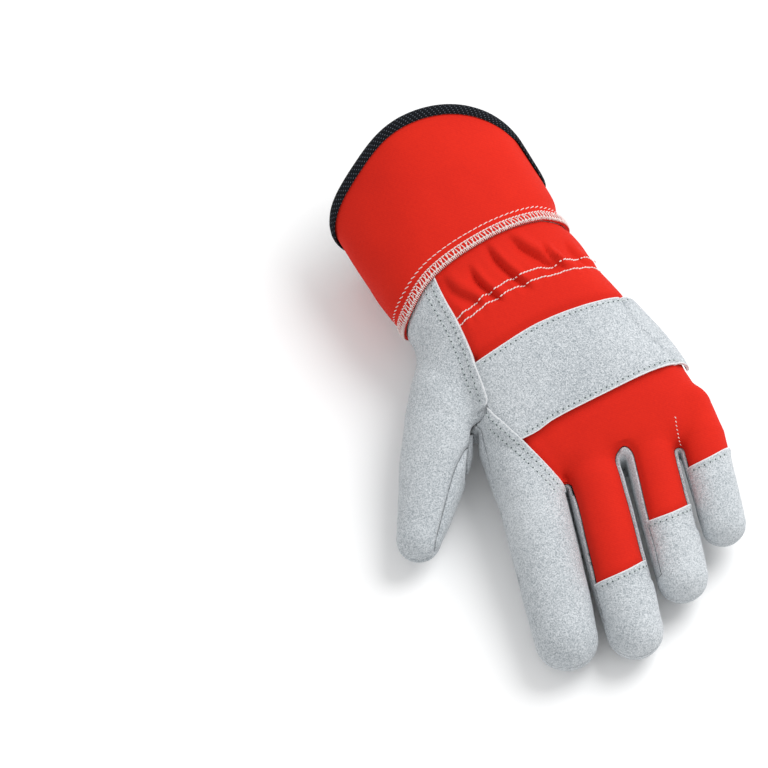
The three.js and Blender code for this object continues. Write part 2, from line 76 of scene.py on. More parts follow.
rimRow = seamRow + len(cuffSections["along"]) - 1

digits = {
    "thumb": dict(root=(-0.398, 0.3685), heading=29.5, length=114.0, width=38.0),
    "index": dict(root=(-0.3435, -0.23), heading=5.2, length=107.0, width=30.4),
    "middle": dict(root=(-0.066, -0.275), heading=3.4, length=106.0, width=28.2),
    "ring": dict(root=(0.213, -0.26), heading=4.0, length=88.5, width=25.2),
    "little": dict(root=(0.447, -0.295), heading=3.0, length=64.5, width=21.6),
}
fingerShape = {"along": [0.0, 0.22, 0.45, 0.7, 0.87], "half": [0.42, 0.54, 0.52, 0.5, 0.47]}
thumbShape = {"along": [0.0, 0.2, 0.31, 0.43, 0.62, 0.74, 0.85, 0.9],
              "half": [0.44, 0.46, 0.48, 0.47, 0.415, 0.36, 0.305, 0.275]}
# Lift of the side seams over half a finger, by the distance past the crotches.
fingerLift = {
    "beyond": [-1.6, -0.5, -0.22, -0.1, 0.0, 0.25, 0.5, 0.75, 1.2],
    "lift": [0.42, 0.4, 0.32, 0.25, 0.2, 0.135, 0.06, 0.01, 0.0],
}
thumbLift = {"beyond": [-0.1, 0.0, 0.3, 0.6, 1.0, 1.6], "lift": [0.02, 0.04, 0.12, 0.24, 0.3, 0.32]}
thumbTipShare = 0.575

# Seams seen from above, in shares of the palm's width and length.
seams = {
    "cuff": [(-1.6, 0.2), (-0.95, 0.3), (-0.69, 0.39), (-0.5, 0.5), (-0.22, 0.583),
             (0.03, 0.624), (0.16, 0.622), (0.9, 0.58)],
    "thumbPanel": [(-0.445, -0.077), (-0.45, 0.13), (-0.468, 0.3), (-0.505, 0.5), (-0.515, 0.72)],
    "indexPanel": [(-0.222, -0.52), (-0.26, -0.45), (-0.36, -0.27), (-0.415, -0.16), (-0.445, -0.077)],
    "web": [(-0.72, -0.8), (-0.64, -0.36), (-0.53, -0.135), (-0.445, -0.077)],
    "thumbInner": [(-0.93, -0.72), (-0.86, -0.56), (-0.816, -0.485), (-0.748, -0.385), (-0.673, -0.281),
                   (-0.605, -0.212), (-0.523, -0.156), (-0.45, -0.085), (-0.2, 0.02)],
    "thumbPalm": [(-0.53, -0.135), (-0.47, -0.06), (-0.38, 0.05), (-0.35, 0.2), (-0.42, 0.34),
                  (-0.52, 0.42), (-0.62, 0.6)],
    "cross": [(-0.33, -0.47), (-0.216, -0.48), (-0.08, -0.41), (0.1, -0.375), (0.34, -0.365),
              (0.46, -0.37)],
    "strapTop": [(-0.9, 0.06), (-0.43, 0.107), (-0.12, 0.173), (0.165, 0.203), (0.36, 0.218), (0.8, 0.22)],
    "strapLow": [(-0.9, -0.3), (-0.36, -0.272), (-0.175, -0.235), (0.1, -0.192), (0.47, -0.125),
                 (0.8, -0.1)],
}
stalls = {
    "middle": dict(end=0.64, slope=0.17, sag=3.6),
    "ring": dict(end=0.56, slope=0.1, sag=3.4),
    "little": dict(end=0.41, slope=0.2, sag=2.4),
}
# Slits between the fingers: half width at the crotch and at the tips, how far up the hand they
# reach, roundness of their edges, the leather rims to their left and right, and the length in
# which these grow, in mm.
slits = {
    "index_middle": dict(pair=("index", "middle"), half=(0.9, 0.5), end=-53.0, round=2.0, rims=(-3, 1.3),
                         grow=16.0),
    "middle_ring": dict(pair=("middle", "ring"), half=(1.5, 0.6), end=-48.5, round=3.2, rims=(1.5, 2.6),
                       grow=0.1),
    "ring_little": dict(pair=("ring", "little"), half=(0.55, 0.55), end=-51.0, round=2.4, rims=(1.1, 0.6),
                        grow=12.0),
}
slitReach = 30.0
# Strips between the fingers: their half width and inset as shares of a finger's half width, their
# end as a share of its length, and the rest in mm.
gusset = {"half": 0.42, "inset": 0.6, "end": 0.86, "start": 12.0, "taper": 36.0, "rimStart": 6,
          "rimBlend": 1.5}
# Slit between the thumb and the index finger, in mm.
webSlit = {"line": [(-62.0, -48.0), (-55.5, -24.0), (-51.8, -14.5)], "half": 0.8, "round": 2.4}


# Reads evenly spaced values at t on a smooth curve that passes through each of them.
def splineAt(values, t):
    values = np.asarray(values, float)
    last = len(values) - 1
    i = np.clip(np.floor(t).astype(int), 0, last - 1)
    f = np.clip(t - i, 0, 1)
    a, b, c, d = (values[np.clip(i + k, 0, last)] for k in (-1, 0, 1, 2))
    return b + 0.5 * f * (c - a + f * (2 * a - 5 * b + 4 * c - d + f * (3 * (b - c) + d - a)))


def sectionColumns():
    columns = {}
    for key in handSections:
        hand, cuff = np.array(handSections[key], float), np.array(cuffSections[key], float)
        if key == "along":
            hand *= size["palmLength"]
            cuff = size["cuffSeam"] * size["palmLength"] + cuff * size["cuffLength"]
        elif key == "across":
            hand, cuff = hand * size["palmWidth"], cuff * size["palmWidth"]
        elif key == "half":
            hand, cuff = hand * size["palmWidth"], cuff * size["cuffWidth"]
        elif key in ("top", "low"):
            hand, cuff = hand * size["palmHeight"], cuff * size["cuffHeight"]
        elif key == "turn":
            hand, cuff = np.radians(hand), np.radians(cuff)
        columns[key] = np.concatenate([hand, cuff])
    return columns


columns = sectionColumns()
fineT = np.linspace(0, rimRow, 600)
fine = {key: splineAt(values, fineT) for key, values in columns.items()}


def smoothMin(a, b, reach):
    overlap = np.clip(reach - np.abs(a - b), 0, None) / reach
    return np.minimum(a, b) - overlap * overlap * reach / 4


def smoothMax(a, b, reach):
    return -smoothMin(-a, -b, reach)


# Distance to the hand's loft: the radius minus the section's radius in the same direction.
def bodyField(x, y, z):
    t = np.interp(y, fine["along"], fineT)
    for _ in range(3):
        turn = np.interp(t, fineT, fine["turn"])
        up = z - np.interp(t, fineT, (fine["top"] + fine["low"]) / 2)
        lean = np.interp(t, fineT, fine["lean"]) * np.where(up > 0, up, size["lowLean"] * up)
        level = y - (x - np.interp(t, fineT, fine["across"])) * np.tan(turn) - lean
        t = np.interp(level, fine["along"], fineT)
    across = (x - np.interp(t, fineT, fine["across"])) / np.cos(turn)
    up = z - np.interp(t, fineT, (fine["top"] + fine["low"]) / 2)
    half = np.interp(t, fineT, fine["half"])
    rise = np.interp(t, fineT, (fine["top"] - fine["low"]) / 2)
    power = 2 / np.interp(t, fineT, fine["square"])
    radius = np.hypot(across, up) + 1e-6
    ratio = (np.abs(across / half) ** power + np.abs(up / rise) ** power) ** (1 / power) + 1e-9
    return smoothMax(radius - radius / ratio, columns["along"][0] - y, size["knuckleRound"])


def seamHeight(y):
    beyond = (columns["along"][0] * 0.956 - y) / digits["middle"]["length"]
    lift = np.interp(beyond, fingerLift["beyond"], fingerLift["lift"])
    return digits["middle"]["width"] / 2 + lift * size["palmHeight"]


def thumbSeamHeight(y):
    beyond = (y + thumbTipShare * size["palmLength"]) / digits["thumb"]["length"]
    lift = np.interp(beyond, thumbLift["beyond"], thumbLift["lift"])
    return digits["thumb"]["width"] / 3 + lift * size["palmHeight"]


def headingOf(digit):
    angle = math.radians(digit["heading"])
    return -math.sin(angle), -math.cos(angle)


def rootOf(digit):
    return digit["root"][0] * size["palmWidth"], digit["root"][1] * size["palmLength"]


# Distance to a digit: a tapered tube along a straight line seen from above, with a round tip.
def digitField(name, x, y, z):
    digit = digits[name]
    shape, height = (thumbShape, thumbSeamHeight) if name == "thumb" else (fingerShape, seamHeight)
    (hx, hy), (rx, ry) = headingOf(digit), rootOf(digit)
    along = (x - rx) * hx + (y - ry) * hy
    aside = (x - rx) * hy - (y - ry) * hx
    radius = np.interp(along / digit["length"], shape["along"], shape["half"]) * digit["width"]
    tipStart = shape["along"][-1] * digit["length"]
    stretch = shape["half"][-1] * digit["width"] / (digit["length"] - tipStart)
    past = np.clip(along - tipStart, 0, None) * stretch + np.clip(-along, 0, None)
    centre = np.maximum(height(ry + along * hy), radius)
    return np.sqrt(aside ** 2 + (z - centre) ** 2 + past ** 2) - radius


# A seam as one coordinate of the other: distance to it, positive towards -X or towards +Y.
def smoothLine(points, count=160):
    points = np.array(points, float)
    t = np.linspace(0, len(points) - 1, count)
    return np.stack([splineAt(points[:, 0], t), splineAt(points[:, 1], t)], 1)


def palmLine(*names):
    shares = []
    for name in names:
        shares += seams[name] if not shares else seams[name][1:]
    return smoothLine([(a * size["palmWidth"], b * size["palmLength"]) for a, b in shares])


def leftOf(line, x, y):
    order = np.argsort(line[:, 1])
    across, along = line[order, 0], line[order, 1]
    slope = np.interp(y, along, np.gradient(across, along + np.arange(len(along)) * 1e-7))
    return (np.interp(y, along, across) - x) / np.sqrt(1 + slope ** 2)


def beyondOf(line, x, y):
    across, along = line[:, 0], line[:, 1]
    slope = np.interp(x, across, np.gradient(along, across))
    return (y - np.interp(x, across, along)) / np.sqrt(1 + slope ** 2)


def digitPoint(digit, along):
    (hx, hy), (rx, ry) = headingOf(digit), rootOf(digit)
    return rx + along * digit["length"] * hx, ry + along * digit["length"] * hy


# Middle line of the slit between two fingers, from inside the hand to past the tips.
def slitLine(left, right):
    left, right = digits[left], digits[right]
    rows = []
    for along in (0, 0.3, 0.6, 0.9, 1.4):
        ax, ay = digitPoint(left, along)
        hx, hy = headingOf(right)
        bx = rootOf(right)[0] + (ay - rootOf(right)[1]) / hy * hx
        rows.append((ax + (bx - ax) * left["width"] / (left["width"] + right["width"]), ay))
    return np.array(rows[::-1])


slitLines = {name: slitLine(*slit["pair"]) for name, slit in slits.items()}
webLine = np.array(webSlit["line"])


def slitHalf(slit, y):
    return np.interp(slit["end"] - y, (0, slitReach), slit["half"])


# Smooth step from 0 at start to 1 at end.
def ramp(value, start, end):
    share = np.clip((value - start) / (end - start), 0, 1)
    return share * share * (3 - 2 * share)


# The whole filled hand: negative inside. Slits keep the fingers apart, and it lies on z = 0.
def gloveField(x, y, z):
    fingers = digitField("index", x, y, z)
    for name in ("middle", "ring", "little"):
        fingers = np.minimum(fingers, digitField(name, x, y, z))
    field = smoothMin(bodyField(x, y, z), fingers, size["fingerBlend"])
    field = smoothMin(field, digitField("thumb", x, y, z), size["thumbBlend"])
    for name, slit in slits.items():
        away = np.hypot(leftOf(slitLines[name], x, y), np.clip(y - slit["end"], 0, None))
        field = smoothMax(field, slitHalf(slit, y) - away, slit["round"])
    away = np.hypot(leftOf(webLine, x, y), np.clip(y - webSlit["line"][-1][1], 0, None))
    away = away + np.clip(webSlit["line"][0][1] - y, 0, None)
    field = smoothMax(field, webSlit["half"] - away, webSlit["round"])
    return smoothMax(field, -z, size["floorSoftness"])


def gradientOf(points, step=0.2):
    x, y, z = points.T
    slopes = [
        gloveField(x + step, y, z) - gloveField(x - step, y, z),
        gloveField(x, y + step, z) - gloveField(x, y - step, z),
        gloveField(x, y, z + step) - gloveField(x, y, z - step),
    ]
    return np.stack(slopes, 1) / (2 * step)


def unit(vectors):
    return vectors / (np.linalg.norm(vectors, axis=-1, keepdims=True) + 1e-12)


# Surface of a field's zero as quads: one point in each cell that it crosses, at the mean of the
# crossings on the cell's edges, and one quad round each grid edge that it crosses.
def surfaceNet(low, high, step):
    axes = [np.arange(a, b, step) for a, b in zip(low, high)]
    shape = [len(axis) for axis in axes]
    grid = np.meshgrid(*axes, indexing="ij")
    field = gloveField(*(g.ravel() for g in grid)).reshape(shape)
    inside = field < 0
    corners = [(i, j, k) for i in (0, 1) for j in (0, 1) for k in (0, 1)]
    window = [slice(0, -1), slice(1, None)]
    count = sum(inside[window[i], window[j], window[k]].astype(int) for i, j, k in corners)
    cells = (count > 0) & (count < 8)
    index = np.full(cells.shape, -1)
    index[cells] = np.arange(cells.sum())
    where = np.argwhere(cells)
    total, hits = np.zeros((len(where), 3)), np.zeros(len(where))
    for a in corners:
        for b in corners:
            if sum(b) - sum(a) != 1 or any(q < p for p, q in zip(a, b)):
                continue
            fa = field[tuple((where + a).T)]
            fb = field[tuple((where + b).T)]
            cross = (fa < 0) != (fb < 0)
            share = np.where(cross, fa / np.where(fa == fb, 1, fa - fb), 0)
            total += cross[:, None] * (np.array(a) + share[:, None] * (np.array(b) - np.array(a)))
            hits += cross
    points = np.array(low) + (where + total / hits[:, None]) * step
    quads = []
    for axis in range(3):
        u, v = (axis + 1) % 3, (axis + 2) % 3
        first, second = [slice(1, -1)] * 3, [slice(1, -1)] * 3
        first[axis], second[axis] = slice(0, -1), slice(1, None)
        change = inside[tuple(first)] != inside[tuple(second)]
        place = np.argwhere(change)
        place[:, u] += 1
        place[:, v] += 1
        flip = inside[tuple(place.T)]
        ring = []
        for du, dv in ((-1, -1), (0, -1), (0, 0), (-1, 0)):
            cell = place.copy()
            cell[:, u] += du
            cell[:, v] += dv
            ring.append(index[tuple(cell.T)])
        ring = np.stack(ring, 1)
        quads.append(np.where(flip[:, None], ring, ring[:, ::-1]))
    return points, np.concatenate(quads)


def toTriangles(quads):
    return np.concatenate([quads[:, [0, 1, 2]], quads[:, [0, 2, 3]]])


# Keeps the part of a triangle mesh where the field is positive, with new points on its edge.
def clipMesh(points, faces, field, extras):
    inside = field > 0
    count = inside[faces].sum(1)
    lone = np.where(count == 1, np.argmax(inside[faces], 1), np.argmin(inside[faces], 1))
    turned = np.take_along_axis(faces, (lone[:, None] + np.arange(3)) % 3, 1)
    one, two = turned[count == 1], turned[count == 2]
    cutEdges = np.concatenate([one[:, [0, 1]], one[:, [0, 2]], two[:, [0, 1]], two[:, [0, 2]]])
    if len(cutEdges):
        keys, back = np.unique(np.sort(cutEdges, 1), axis=0, return_inverse=True)
        back = back.ravel() + len(points)
        i, j = keys.T
        share = (field[i] / (field[i] - field[j]))[:, None]
        points = np.concatenate([points, points[i] + share * (points[j] - points[i])])
        extras = [np.concatenate([e, e[i] + share * (e[j] - e[i])]) for e in extras]
        n, m = len(one), len(two)
        oneB, oneC, twoB, twoC = np.split(back, [n, 2 * n, 2 * n + m])
        faces = np.concatenate([
            faces[count == 3], np.stack([one[:, 0], oneB, oneC], 1),
            np.stack([twoB, two[:, 1], two[:, 2]], 1), np.stack([twoB, two[:, 2], twoC], 1),
        ])
    else:
        faces = faces[count == 3]
    used, faces = np.unique(faces, return_inverse=True)
    return points[used], faces.reshape(-1, 3), [e[used] for e in extras]


# Seeded value noise: random numbers on a lattice of cells of a given size, smoothly blended.
def lattice(points, cell, seed):
    rng = np.random.default_rng(seed)
    table = rng.uniform(-1, 1, (32, 32, 32))
    scaled = points / cell + 100
    base = np.floor(scaled).astype(int)
    f = scaled - base
    f = f * f * (3 - 2 * f)
    value = 0
    for i in (0, 1):
        for j in (0, 1):
            for k in (0, 1):
                weight = (f[:, 0] if i else 1 - f[:, 0]) * (f[:, 1] if j else 1 - f[:, 1])
                weight = weight * (f[:, 2] if k else 1 - f[:, 2])
                corner = (base + (i, j, k)) % 32
                value = value + weight * table[tuple(corner.T)]
    return value


def bump(value, width):
    return np.exp(-(value / width) ** 2)


print("form functions ready")


# One small class for shader maths: a wrapped socket, whose operators add Math nodes.
class Wire:
    def __init__(self, finish, socket):
        self.finish, self.socket = finish, socket

    def maths(self, operation, a, b=0.0):
        return self.finish.node("ShaderNodeMath", {"operation": operation}, {0: a, 1: b})

    def __add__(self, other):
        return self.maths("ADD", self, other)

    def __radd__(self, other):
        return self.maths("ADD", other, self)

    def __sub__(self, other):
        return self.maths("SUBTRACT", self, other)

    def __rsub__(self, other):
        return self.maths("SUBTRACT", other, self)

    def __mul__(self, other):
        return self.maths("MULTIPLY", self, other)

    def __rmul__(self, other):
        return self.maths("MULTIPLY", other, self)

    def __truediv__(self, other):
        return self.maths("DIVIDE", self, other)

    def __rtruediv__(self, other):
        return self.maths("DIVIDE", other, self)

    def __abs__(self):
        return self.maths("ABSOLUTE", self)

    def sine(self):
        return self.maths("SINE", self)


class Finish:
    def __init__(self, name):
        self.material = bpy.data.materials.new(name)
        self.material.use_nodes = True
        self.tree = self.material.node_tree
        self.shader = self.tree.nodes["Principled BSDF"]

    def node(self, kind, settings, values, output=0):
        made = self.tree.nodes.new(kind)
        for key, value in settings.items():
            setattr(made, key, value)
        for key, value in values.items():
            self.put(made.inputs[key], value)
        return Wire(self, made.outputs[output])

    def put(self, socket, value):
        if isinstance(value, Wire):
            self.tree.links.new(value.socket, socket)
        elif isinstance(value, tuple) and len(value) == 3 and socket.type == "RGBA":
            socket.default_value = (*value, 1)
        else:
            socket.default_value = value

    def place(self):
        return self.node("ShaderNodeTexCoord", {}, {}, "Object")

    # The three numbers of a vector.
    def axes(self, vector):
        first = self.node("ShaderNodeSeparateXYZ", {}, {0: vector})
        return [Wire(self, socket) for socket in first.socket.node.outputs]

    def noise(self, where, scale, detail=2.0, rough=0.5, twist=0.0):
        values = {"Vector": where, "Scale": scale, "Detail": detail, "Roughness": rough}
        return self.node("ShaderNodeTexNoise", {}, {**values, "Distortion": twist})

    def blend(self, share, a, b):
        return self.node("ShaderNodeMix", {"data_type": "RGBA"}, {0: share, 6: a, 7: b}, 2)

    def between(self, value, low, high):
        values = {"Value": value, "From Min": low, "From Max": high}
        return self.node("ShaderNodeMapRange", {"clamp": True}, values)

    def relief(self, height, distance, strength=1.0):
        values = {"Height": height, "Distance": distance, "Strength": strength}
        return self.node("ShaderNodeBump", {}, values)

    def attribute(self, name):
        return self.node("ShaderNodeAttribute", {"attribute_name": name}, {}, "Fac")

    def set(self, **values):
        for key, value in values.items():
            self.put(self.shader.inputs[key.replace("_", " ")], value)
        return self.material


leatherLook = {
    "pale": (0.63, 0.66, 0.685), "deep": (0.26, 0.295, 0.32), "edge": (0.74, 0.755, 0.77),
    "edgeBand": (0.4, 0.9),  # mm from the cut edge
    "napScale": 1500.0, "wormScale": 800.0, "cloudScale": 26.0,
}


# A shade below 1 darkens the whole suede: painted shade, used for the glove's inside faces.
def suede(name, shade=1.0):
    finish, look = Finish(name), leatherLook
    where = finish.place()
    nap = finish.noise(where, look["napScale"], 2.0, 0.6)
    worm = finish.noise(where, look["wormScale"], 2.0, 0.6, 1.5)
    cloud = finish.noise(where, look["cloudScale"], 3.0, 0.55)
    tone = finish.between(nap * 0.55 + worm * 0.33 + cloud * 0.12, 0.37, 0.6)
    pale = tuple(shade * c for c in look["pale"])
    deep = tuple(shade * c for c in look["deep"])
    colour = finish.blend(tone, deep, pale)
    cutEdge = 1 - finish.between(finish.attribute("edgeDistance"), *look["edgeBand"])
    colour = finish.blend(cutEdge * 0.9, colour, look["edge"])
    height = nap * 0.6 + worm
    return finish.set(
        Base_Color=colour, Roughness=0.95, Normal=finish.relief(height, 0.0005, 0.9),
        Specular_IOR_Level=0.12, Sheen_Weight=0.2, Sheen_Roughness=0.6,
    )


clothLook = {
    "lit": (0.62, 0.02, 0.0085), "dark": (0.52, 0.0145, 0.008),
    "twill": 1500.0, "slub": 900.0, "cloud": 30.0,
}


# A shade below 1 darkens the red as painted shade; pale adds grey for the reverse side's duller colour.
def drill(name, shade=1.0, pale=0.0):
    finish, look = Finish(name), clothLook
    where = finish.place()
    x, y, z = finish.axes(where)
    slub = finish.noise(where, look["slub"], 2.0, 0.6)
    lines = ((x * 0.8 + y + z * 0.6) * (look["twill"] * math.pi) + slub * 2.0).sine()
    cloud = finish.noise(where, look["cloud"], 3.0, 0.5)
    tone = finish.between(lines * 0.05 + slub * 0.5 + cloud * 0.5, 0.25, 0.75)
    lit = tuple(shade * c + pale for c in look["lit"])
    dark = tuple(shade * c + pale * 0.8 for c in look["dark"])
    colour = finish.blend(tone, dark, lit)
    return finish.set(
        Base_Color=colour, Roughness=0.82, Normal=finish.relief(lines * 0.05 + slub, 0.0001, 0.7),
        Specular_IOR_Level=0.1, Sheen_Weight=0.05, Sheen_Roughness=0.5, Sheen_Tint=(1.0, 0.3, 0.25, 1),
    )


canvasLook = {"pale": (0.50, 0.49, 0.47), "deep": (0.36, 0.35, 0.34), "weave": 1100.0, "cloud": 60.0}


def canvas(name):
    finish, look = Finish(name), canvasLook
    where = finish.place()
    weave = finish.noise(where, look["weave"], 2.0, 0.6)
    cloud = finish.noise(where, look["cloud"], 3.0, 0.5)
    tone = finish.between(weave * 0.6 + cloud * 0.4, 0.35, 0.65)
    return finish.set(
        Base_Color=finish.blend(tone, look["deep"], look["pale"]), Roughness=0.9,
        Normal=finish.relief(weave, 0.0003, 0.8), Specular_IOR_Level=0.15,
    )


tapeLook = {"black": (0.007, 0.008, 0.011), "fleck": (0.14, 0.16, 0.19),
            "bead": 2.3, "row": 1.9, "fuzz": 3000.0}


def wovenTape(name):
    finish, look = Finish(name), tapeLook
    along, across, _ = finish.axes(finish.node("ShaderNodeUVMap", {"uv_map": "UVMap"}, {}))
    turns = (along / look["bead"] + abs(across) / look["row"] * 0.5) * (2 * math.pi)
    beads = turns.sine() * (across * (2 * math.pi / look["row"])).sine()
    lump = finish.between(abs(beads), 0.0, 0.9)
    fuzz = finish.noise(finish.place(), look["fuzz"], 2.0, 0.6)
    fleck = finish.between(beads + fuzz * 0.5, 0.88, 1.15)
    colour = finish.blend(fleck * 0.75, look["black"], look["fleck"])
    return finish.set(
        Base_Color=colour, Roughness=0.85, Normal=finish.relief(lump + fuzz * 0.3, 0.0005, 1.0),
        Specular_IOR_Level=0.12,
    )


threadLook = {"ply": 2600.0, "dull": 0.72}


def thread(name, colour):
    finish, look = Finish(name), threadLook
    ply = finish.noise(finish.place(), look["ply"], 2.0, 0.6)
    tone = finish.between(ply, 0.3, 0.7)
    dull = tuple(look["dull"] * c for c in colour)
    return finish.set(
        Base_Color=finish.blend(tone, dull, colour), Roughness=0.7,
        Normal=finish.relief(ply, 0.0001, 0.8), Sheen_Weight=0.1,
    )


looks = {
    "leather": suede("split_leather"),
    # The leather's inside is the same suede darkened to 0.8: painted shade.
    "leatherInside": suede("leather_inside_painted_shade", 0.8),
    "cloth": drill("red_drill"),
    # The cloth's inside is the red darkened to 0.6, painted shade, with grey added for the duller reverse
    # side.
    "clothInside": drill("drill_reverse_painted_shade", 0.6, 0.12),
    "cuffInside": canvas("cuff_canvas"),
    "tape": wovenTape("binding_tape"),
    "whiteThread": thread("white_thread", (0.84, 0.72, 0.69)),
    "paleThread": thread("grey_green_thread", (0.55, 0.62, 0.61)),
    # Near-black for the dots at the needle holes: painted shade of the holes.
    "holeShade": thread("painted_hole_shade", (0.06, 0.09, 0.09)),
}
print("finishes ready")


def addObject(name, points, faces, materials, nodes=(), uvs=None, values=None, kinds=None):
    mesh = bpy.data.meshes.new(name)
    corners = faces.shape[1]
    mesh.vertices.add(len(points))
    mesh.vertices.foreach_set("co", (points * mm).astype(np.float32).ravel())
    mesh.loops.add(faces.size)
    mesh.loops.foreach_set("vertex_index", faces.astype(np.int32).ravel())
    mesh.polygons.add(len(faces))
    mesh.polygons.foreach_set("loop_start", np.arange(0, faces.size, corners, dtype=np.int32))
    if kinds is not None:
        mesh.polygons.foreach_set("material_index", kinds.astype(np.int32))
    if uvs is not None:
        layer = mesh.uv_layers.new(name="UVMap")
        layer.data.foreach_set("uv", uvs[faces.ravel()].astype(np.float32).ravel())
    if values is not None:
        mesh.attributes.new("edgeDistance", "FLOAT", "POINT").data.foreach_set(
            "value", values.astype(np.float32))
    mesh.update(calc_edges=True)
    mesh.validate()
    mesh.shade_smooth()
    mesh.set_sharp_from_angle(angle=math.radians(55))
    for material in materials:
        mesh.materials.append(material)
    piece = bpy.data.objects.new(name, mesh)
    bpy.context.scene.collection.objects.link(piece)
    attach(piece, "root")
    if nodes:
        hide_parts(*nodes)
    print("made", name, len(points), "points", len(faces), "faces")
    return piece


# Gives a sheet its wall: a copy of it moved in along the normals, and a strip round its edges.
def thicken(points, faces, normals, wall):
    count = len(points)
    both = np.concatenate([points, points - normals * wall])
    inner = faces[:, ::-1] + count
    edges = np.concatenate([faces[:, [0, 1]], faces[:, [1, 2]], faces[:, [2, 0]]])
    keys = np.sort(edges, 1) @ np.array([count, 1])
    _, first, times = np.unique(keys, return_index=True, return_counts=True)
    a, b = edges[first[times == 1]].T
    rim = np.concatenate([np.stack([b, a, a + count], 1), np.stack([b, a + count, b + count], 1)])
    kinds = np.concatenate([np.zeros(len(faces)), np.ones(len(inner)), np.zeros(len(rim))])
    return both, np.concatenate([faces, inner, rim]), kinds


# The hand's net, drawn onto its field's zero by a few Newton steps.
net = {"low": (-106.0, -142.0, -3.0), "high": (62.0, 84.0, 64.0), "step": 0.95, "steps": 4, "reach": 0.6}
basePoints, baseQuads = surfaceNet(net["low"], net["high"], net["step"])
for _ in range(net["steps"]):
    slope = gradientOf(basePoints)
    push = gloveField(*basePoints.T)[:, None] * slope / ((slope ** 2).sum(1, keepdims=True) + 1e-6)
    basePoints = basePoints - np.clip(push, -net["reach"], net["reach"])
baseNormals = unit(gradientOf(basePoints))
baseFaces = toTriangles(baseQuads)
print("hand net", len(basePoints), "points")


lines = {name: palmLine(name) for name in (
    "cuff", "cross", "strapTop", "strapLow", "thumbPanel", "indexPanel", "thumbInner")}
lines["thumbBack"] = palmLine("web", "thumbPanel")
seams["thumbFront"] = seams["web"][:2] + seams["thumbPalm"]
lines["thumbFront"] = palmLine("thumbFront")
lines["index"] = palmLine("indexPanel", "thumbPanel")
slitPart = slitLines["index_middle"]
slitPart = slitPart[slitPart[:, 1] < lines["index"][:, 1].min() - 4]
lines["index"] = np.concatenate([slitPart, lines["index"]])
# How far the thumb, index and tip panels lap over what they meet, and how they rise there.
lap = {
    "over": 0.9, "rise": 0.7, "ramp": 5.0, "junction": -8.3, "indexEnd": -55.0,
    "strapRise": 1.2, "strapFrom": -31.0, "strapTo": 14.0, "none": 40.0,
}


# Edge of a fingertip cap seen from above: slanted, and lower in its middle.
def stallEdge(name, x):
    stall, digit = stalls[name], digits[name]
    px, py = digitPoint(digit, stall["end"])
    share = np.clip((x - px) / (digit["width"] / 2), -1, 1)
    return py + (x - px) * stall["slope"] - stall["sag"] * (1 - share * share)


# The seam between back and palm lies lower on the little finger side of the hand, in mm.
ulnarDrop = {"depth": 7.0, "from": 0.0, "to": 14.0, "start": -52.0, "end": -34.0}


# Distance inside the leather strip between two fingers: a band on their facing sides that tapers
# towards the tips, and a rim round the slit's edge on the back.
def gussetField(slit, x, y, aside, above):
    left, right = (digits[key] for key in slit["pair"])
    (ax, ay), (bx, by) = digitPoint(left, 0), digitPoint(right, 0)
    (hx, hy), (gx, gy) = headingOf(left), headingOf(right)
    fromLeft = x - (ax + (y - ay) / hy * hx + gusset["inset"] * left["width"] / 2)
    fromRight = (bx + (y - by) / gy * gx - gusset["inset"] * right["width"] / 2) - x
    end = y - max(digitPoint(left, gusset["end"])[1], digitPoint(right, gusset["end"])[1])
    start = slit["end"] + gusset["start"] - y
    half = gusset["half"] * min(left["width"], right["width"]) / 2
    band = half * np.clip(end / gusset["taper"], 0.1, 1) - np.abs(above)
    grown = np.clip((slit["end"] + gusset["rimStart"] - y) / slit["grow"], 0, 1)
    blend = gusset["rimBlend"]
    rim = slitHalf(slit, y) + np.interp(aside, (-blend, blend), slit["rims"][::-1]) * grown
    rim = rim - np.hypot(aside, np.clip(y - slit["end"], 0, None))
    strip = np.minimum.reduce([fromLeft, fromRight, band, end, start])
    return np.maximum(strip, np.minimum.reduce([rim, above, end]))


# Distances of points to the hand's seams, all positive inside what each name says.
def seamFields(points):
    x, y, z = points.T
    f = {"strapTop": -beyondOf(lines["strapTop"], x, y), "strapLow": beyondOf(lines["strapLow"], x, y)}
    f["hand"] = -beyondOf(lines["cuff"], x, y)
    side = ramp(x, ulnarDrop["from"], ulnarDrop["to"]) * ramp(y, ulnarDrop["start"], ulnarDrop["end"])
    f["above"] = z - seamHeight(y) + ulnarDrop["depth"] * side
    over = z - thumbSeamHeight(y)
    f["thumbAbove"] = np.minimum(over, leftOf(lines["thumbInner"], x, y))
    f["thumbBack"] = leftOf(lines["thumbBack"], x, y)
    f["thumbPalm"] = leftOf(lines["thumbFront"], x, y)
    f["index"] = leftOf(lines["index"], x, y)
    f["thumbOver"] = lap["over"] * ramp(y, lap["junction"], lap["junction"] + 3)
    f["indexOver"] = lap["over"] * ramp(y, lap["junction"], lap["junction"] - 3)
    f["indexOver"] = f["indexOver"] * ramp(y, lap["indexEnd"] - 2, lap["indexEnd"] + 4)
    f["thumbTop"] = np.minimum(f["thumbBack"], f["thumbAbove"])
    f["thumbLow"] = np.minimum(np.where(over > 0, f["thumbBack"], f["thumbPalm"]), -f["thumbAbove"])
    for name, line in slitLines.items():
        f[name] = leftOf(line, x, y)
    f["front"] = np.minimum.reduce([
        -beyondOf(lines["cross"], x, y), -f["index_middle"], f["ring_little"], -f["above"]])
    sides = {"middle": (-f["index_middle"], f["middle_ring"]),
             "ring": (-f["middle_ring"], f["ring_little"]), "little": (-f["ring_little"],)}
    for name, stall in stalls.items():
        past = (stallEdge(name, x) - y) / math.hypot(1, stall["slope"])
        f[name + "Tip"] = np.minimum.reduce([past, *sides[name]])
    for name, slit in slits.items():
        f[name + "Gusset"] = gussetField(slit, x, y, f[name], f["above"])
    f["gussets"] = np.maximum.reduce([f[name + "Gusset"] for name in slits])
    return f


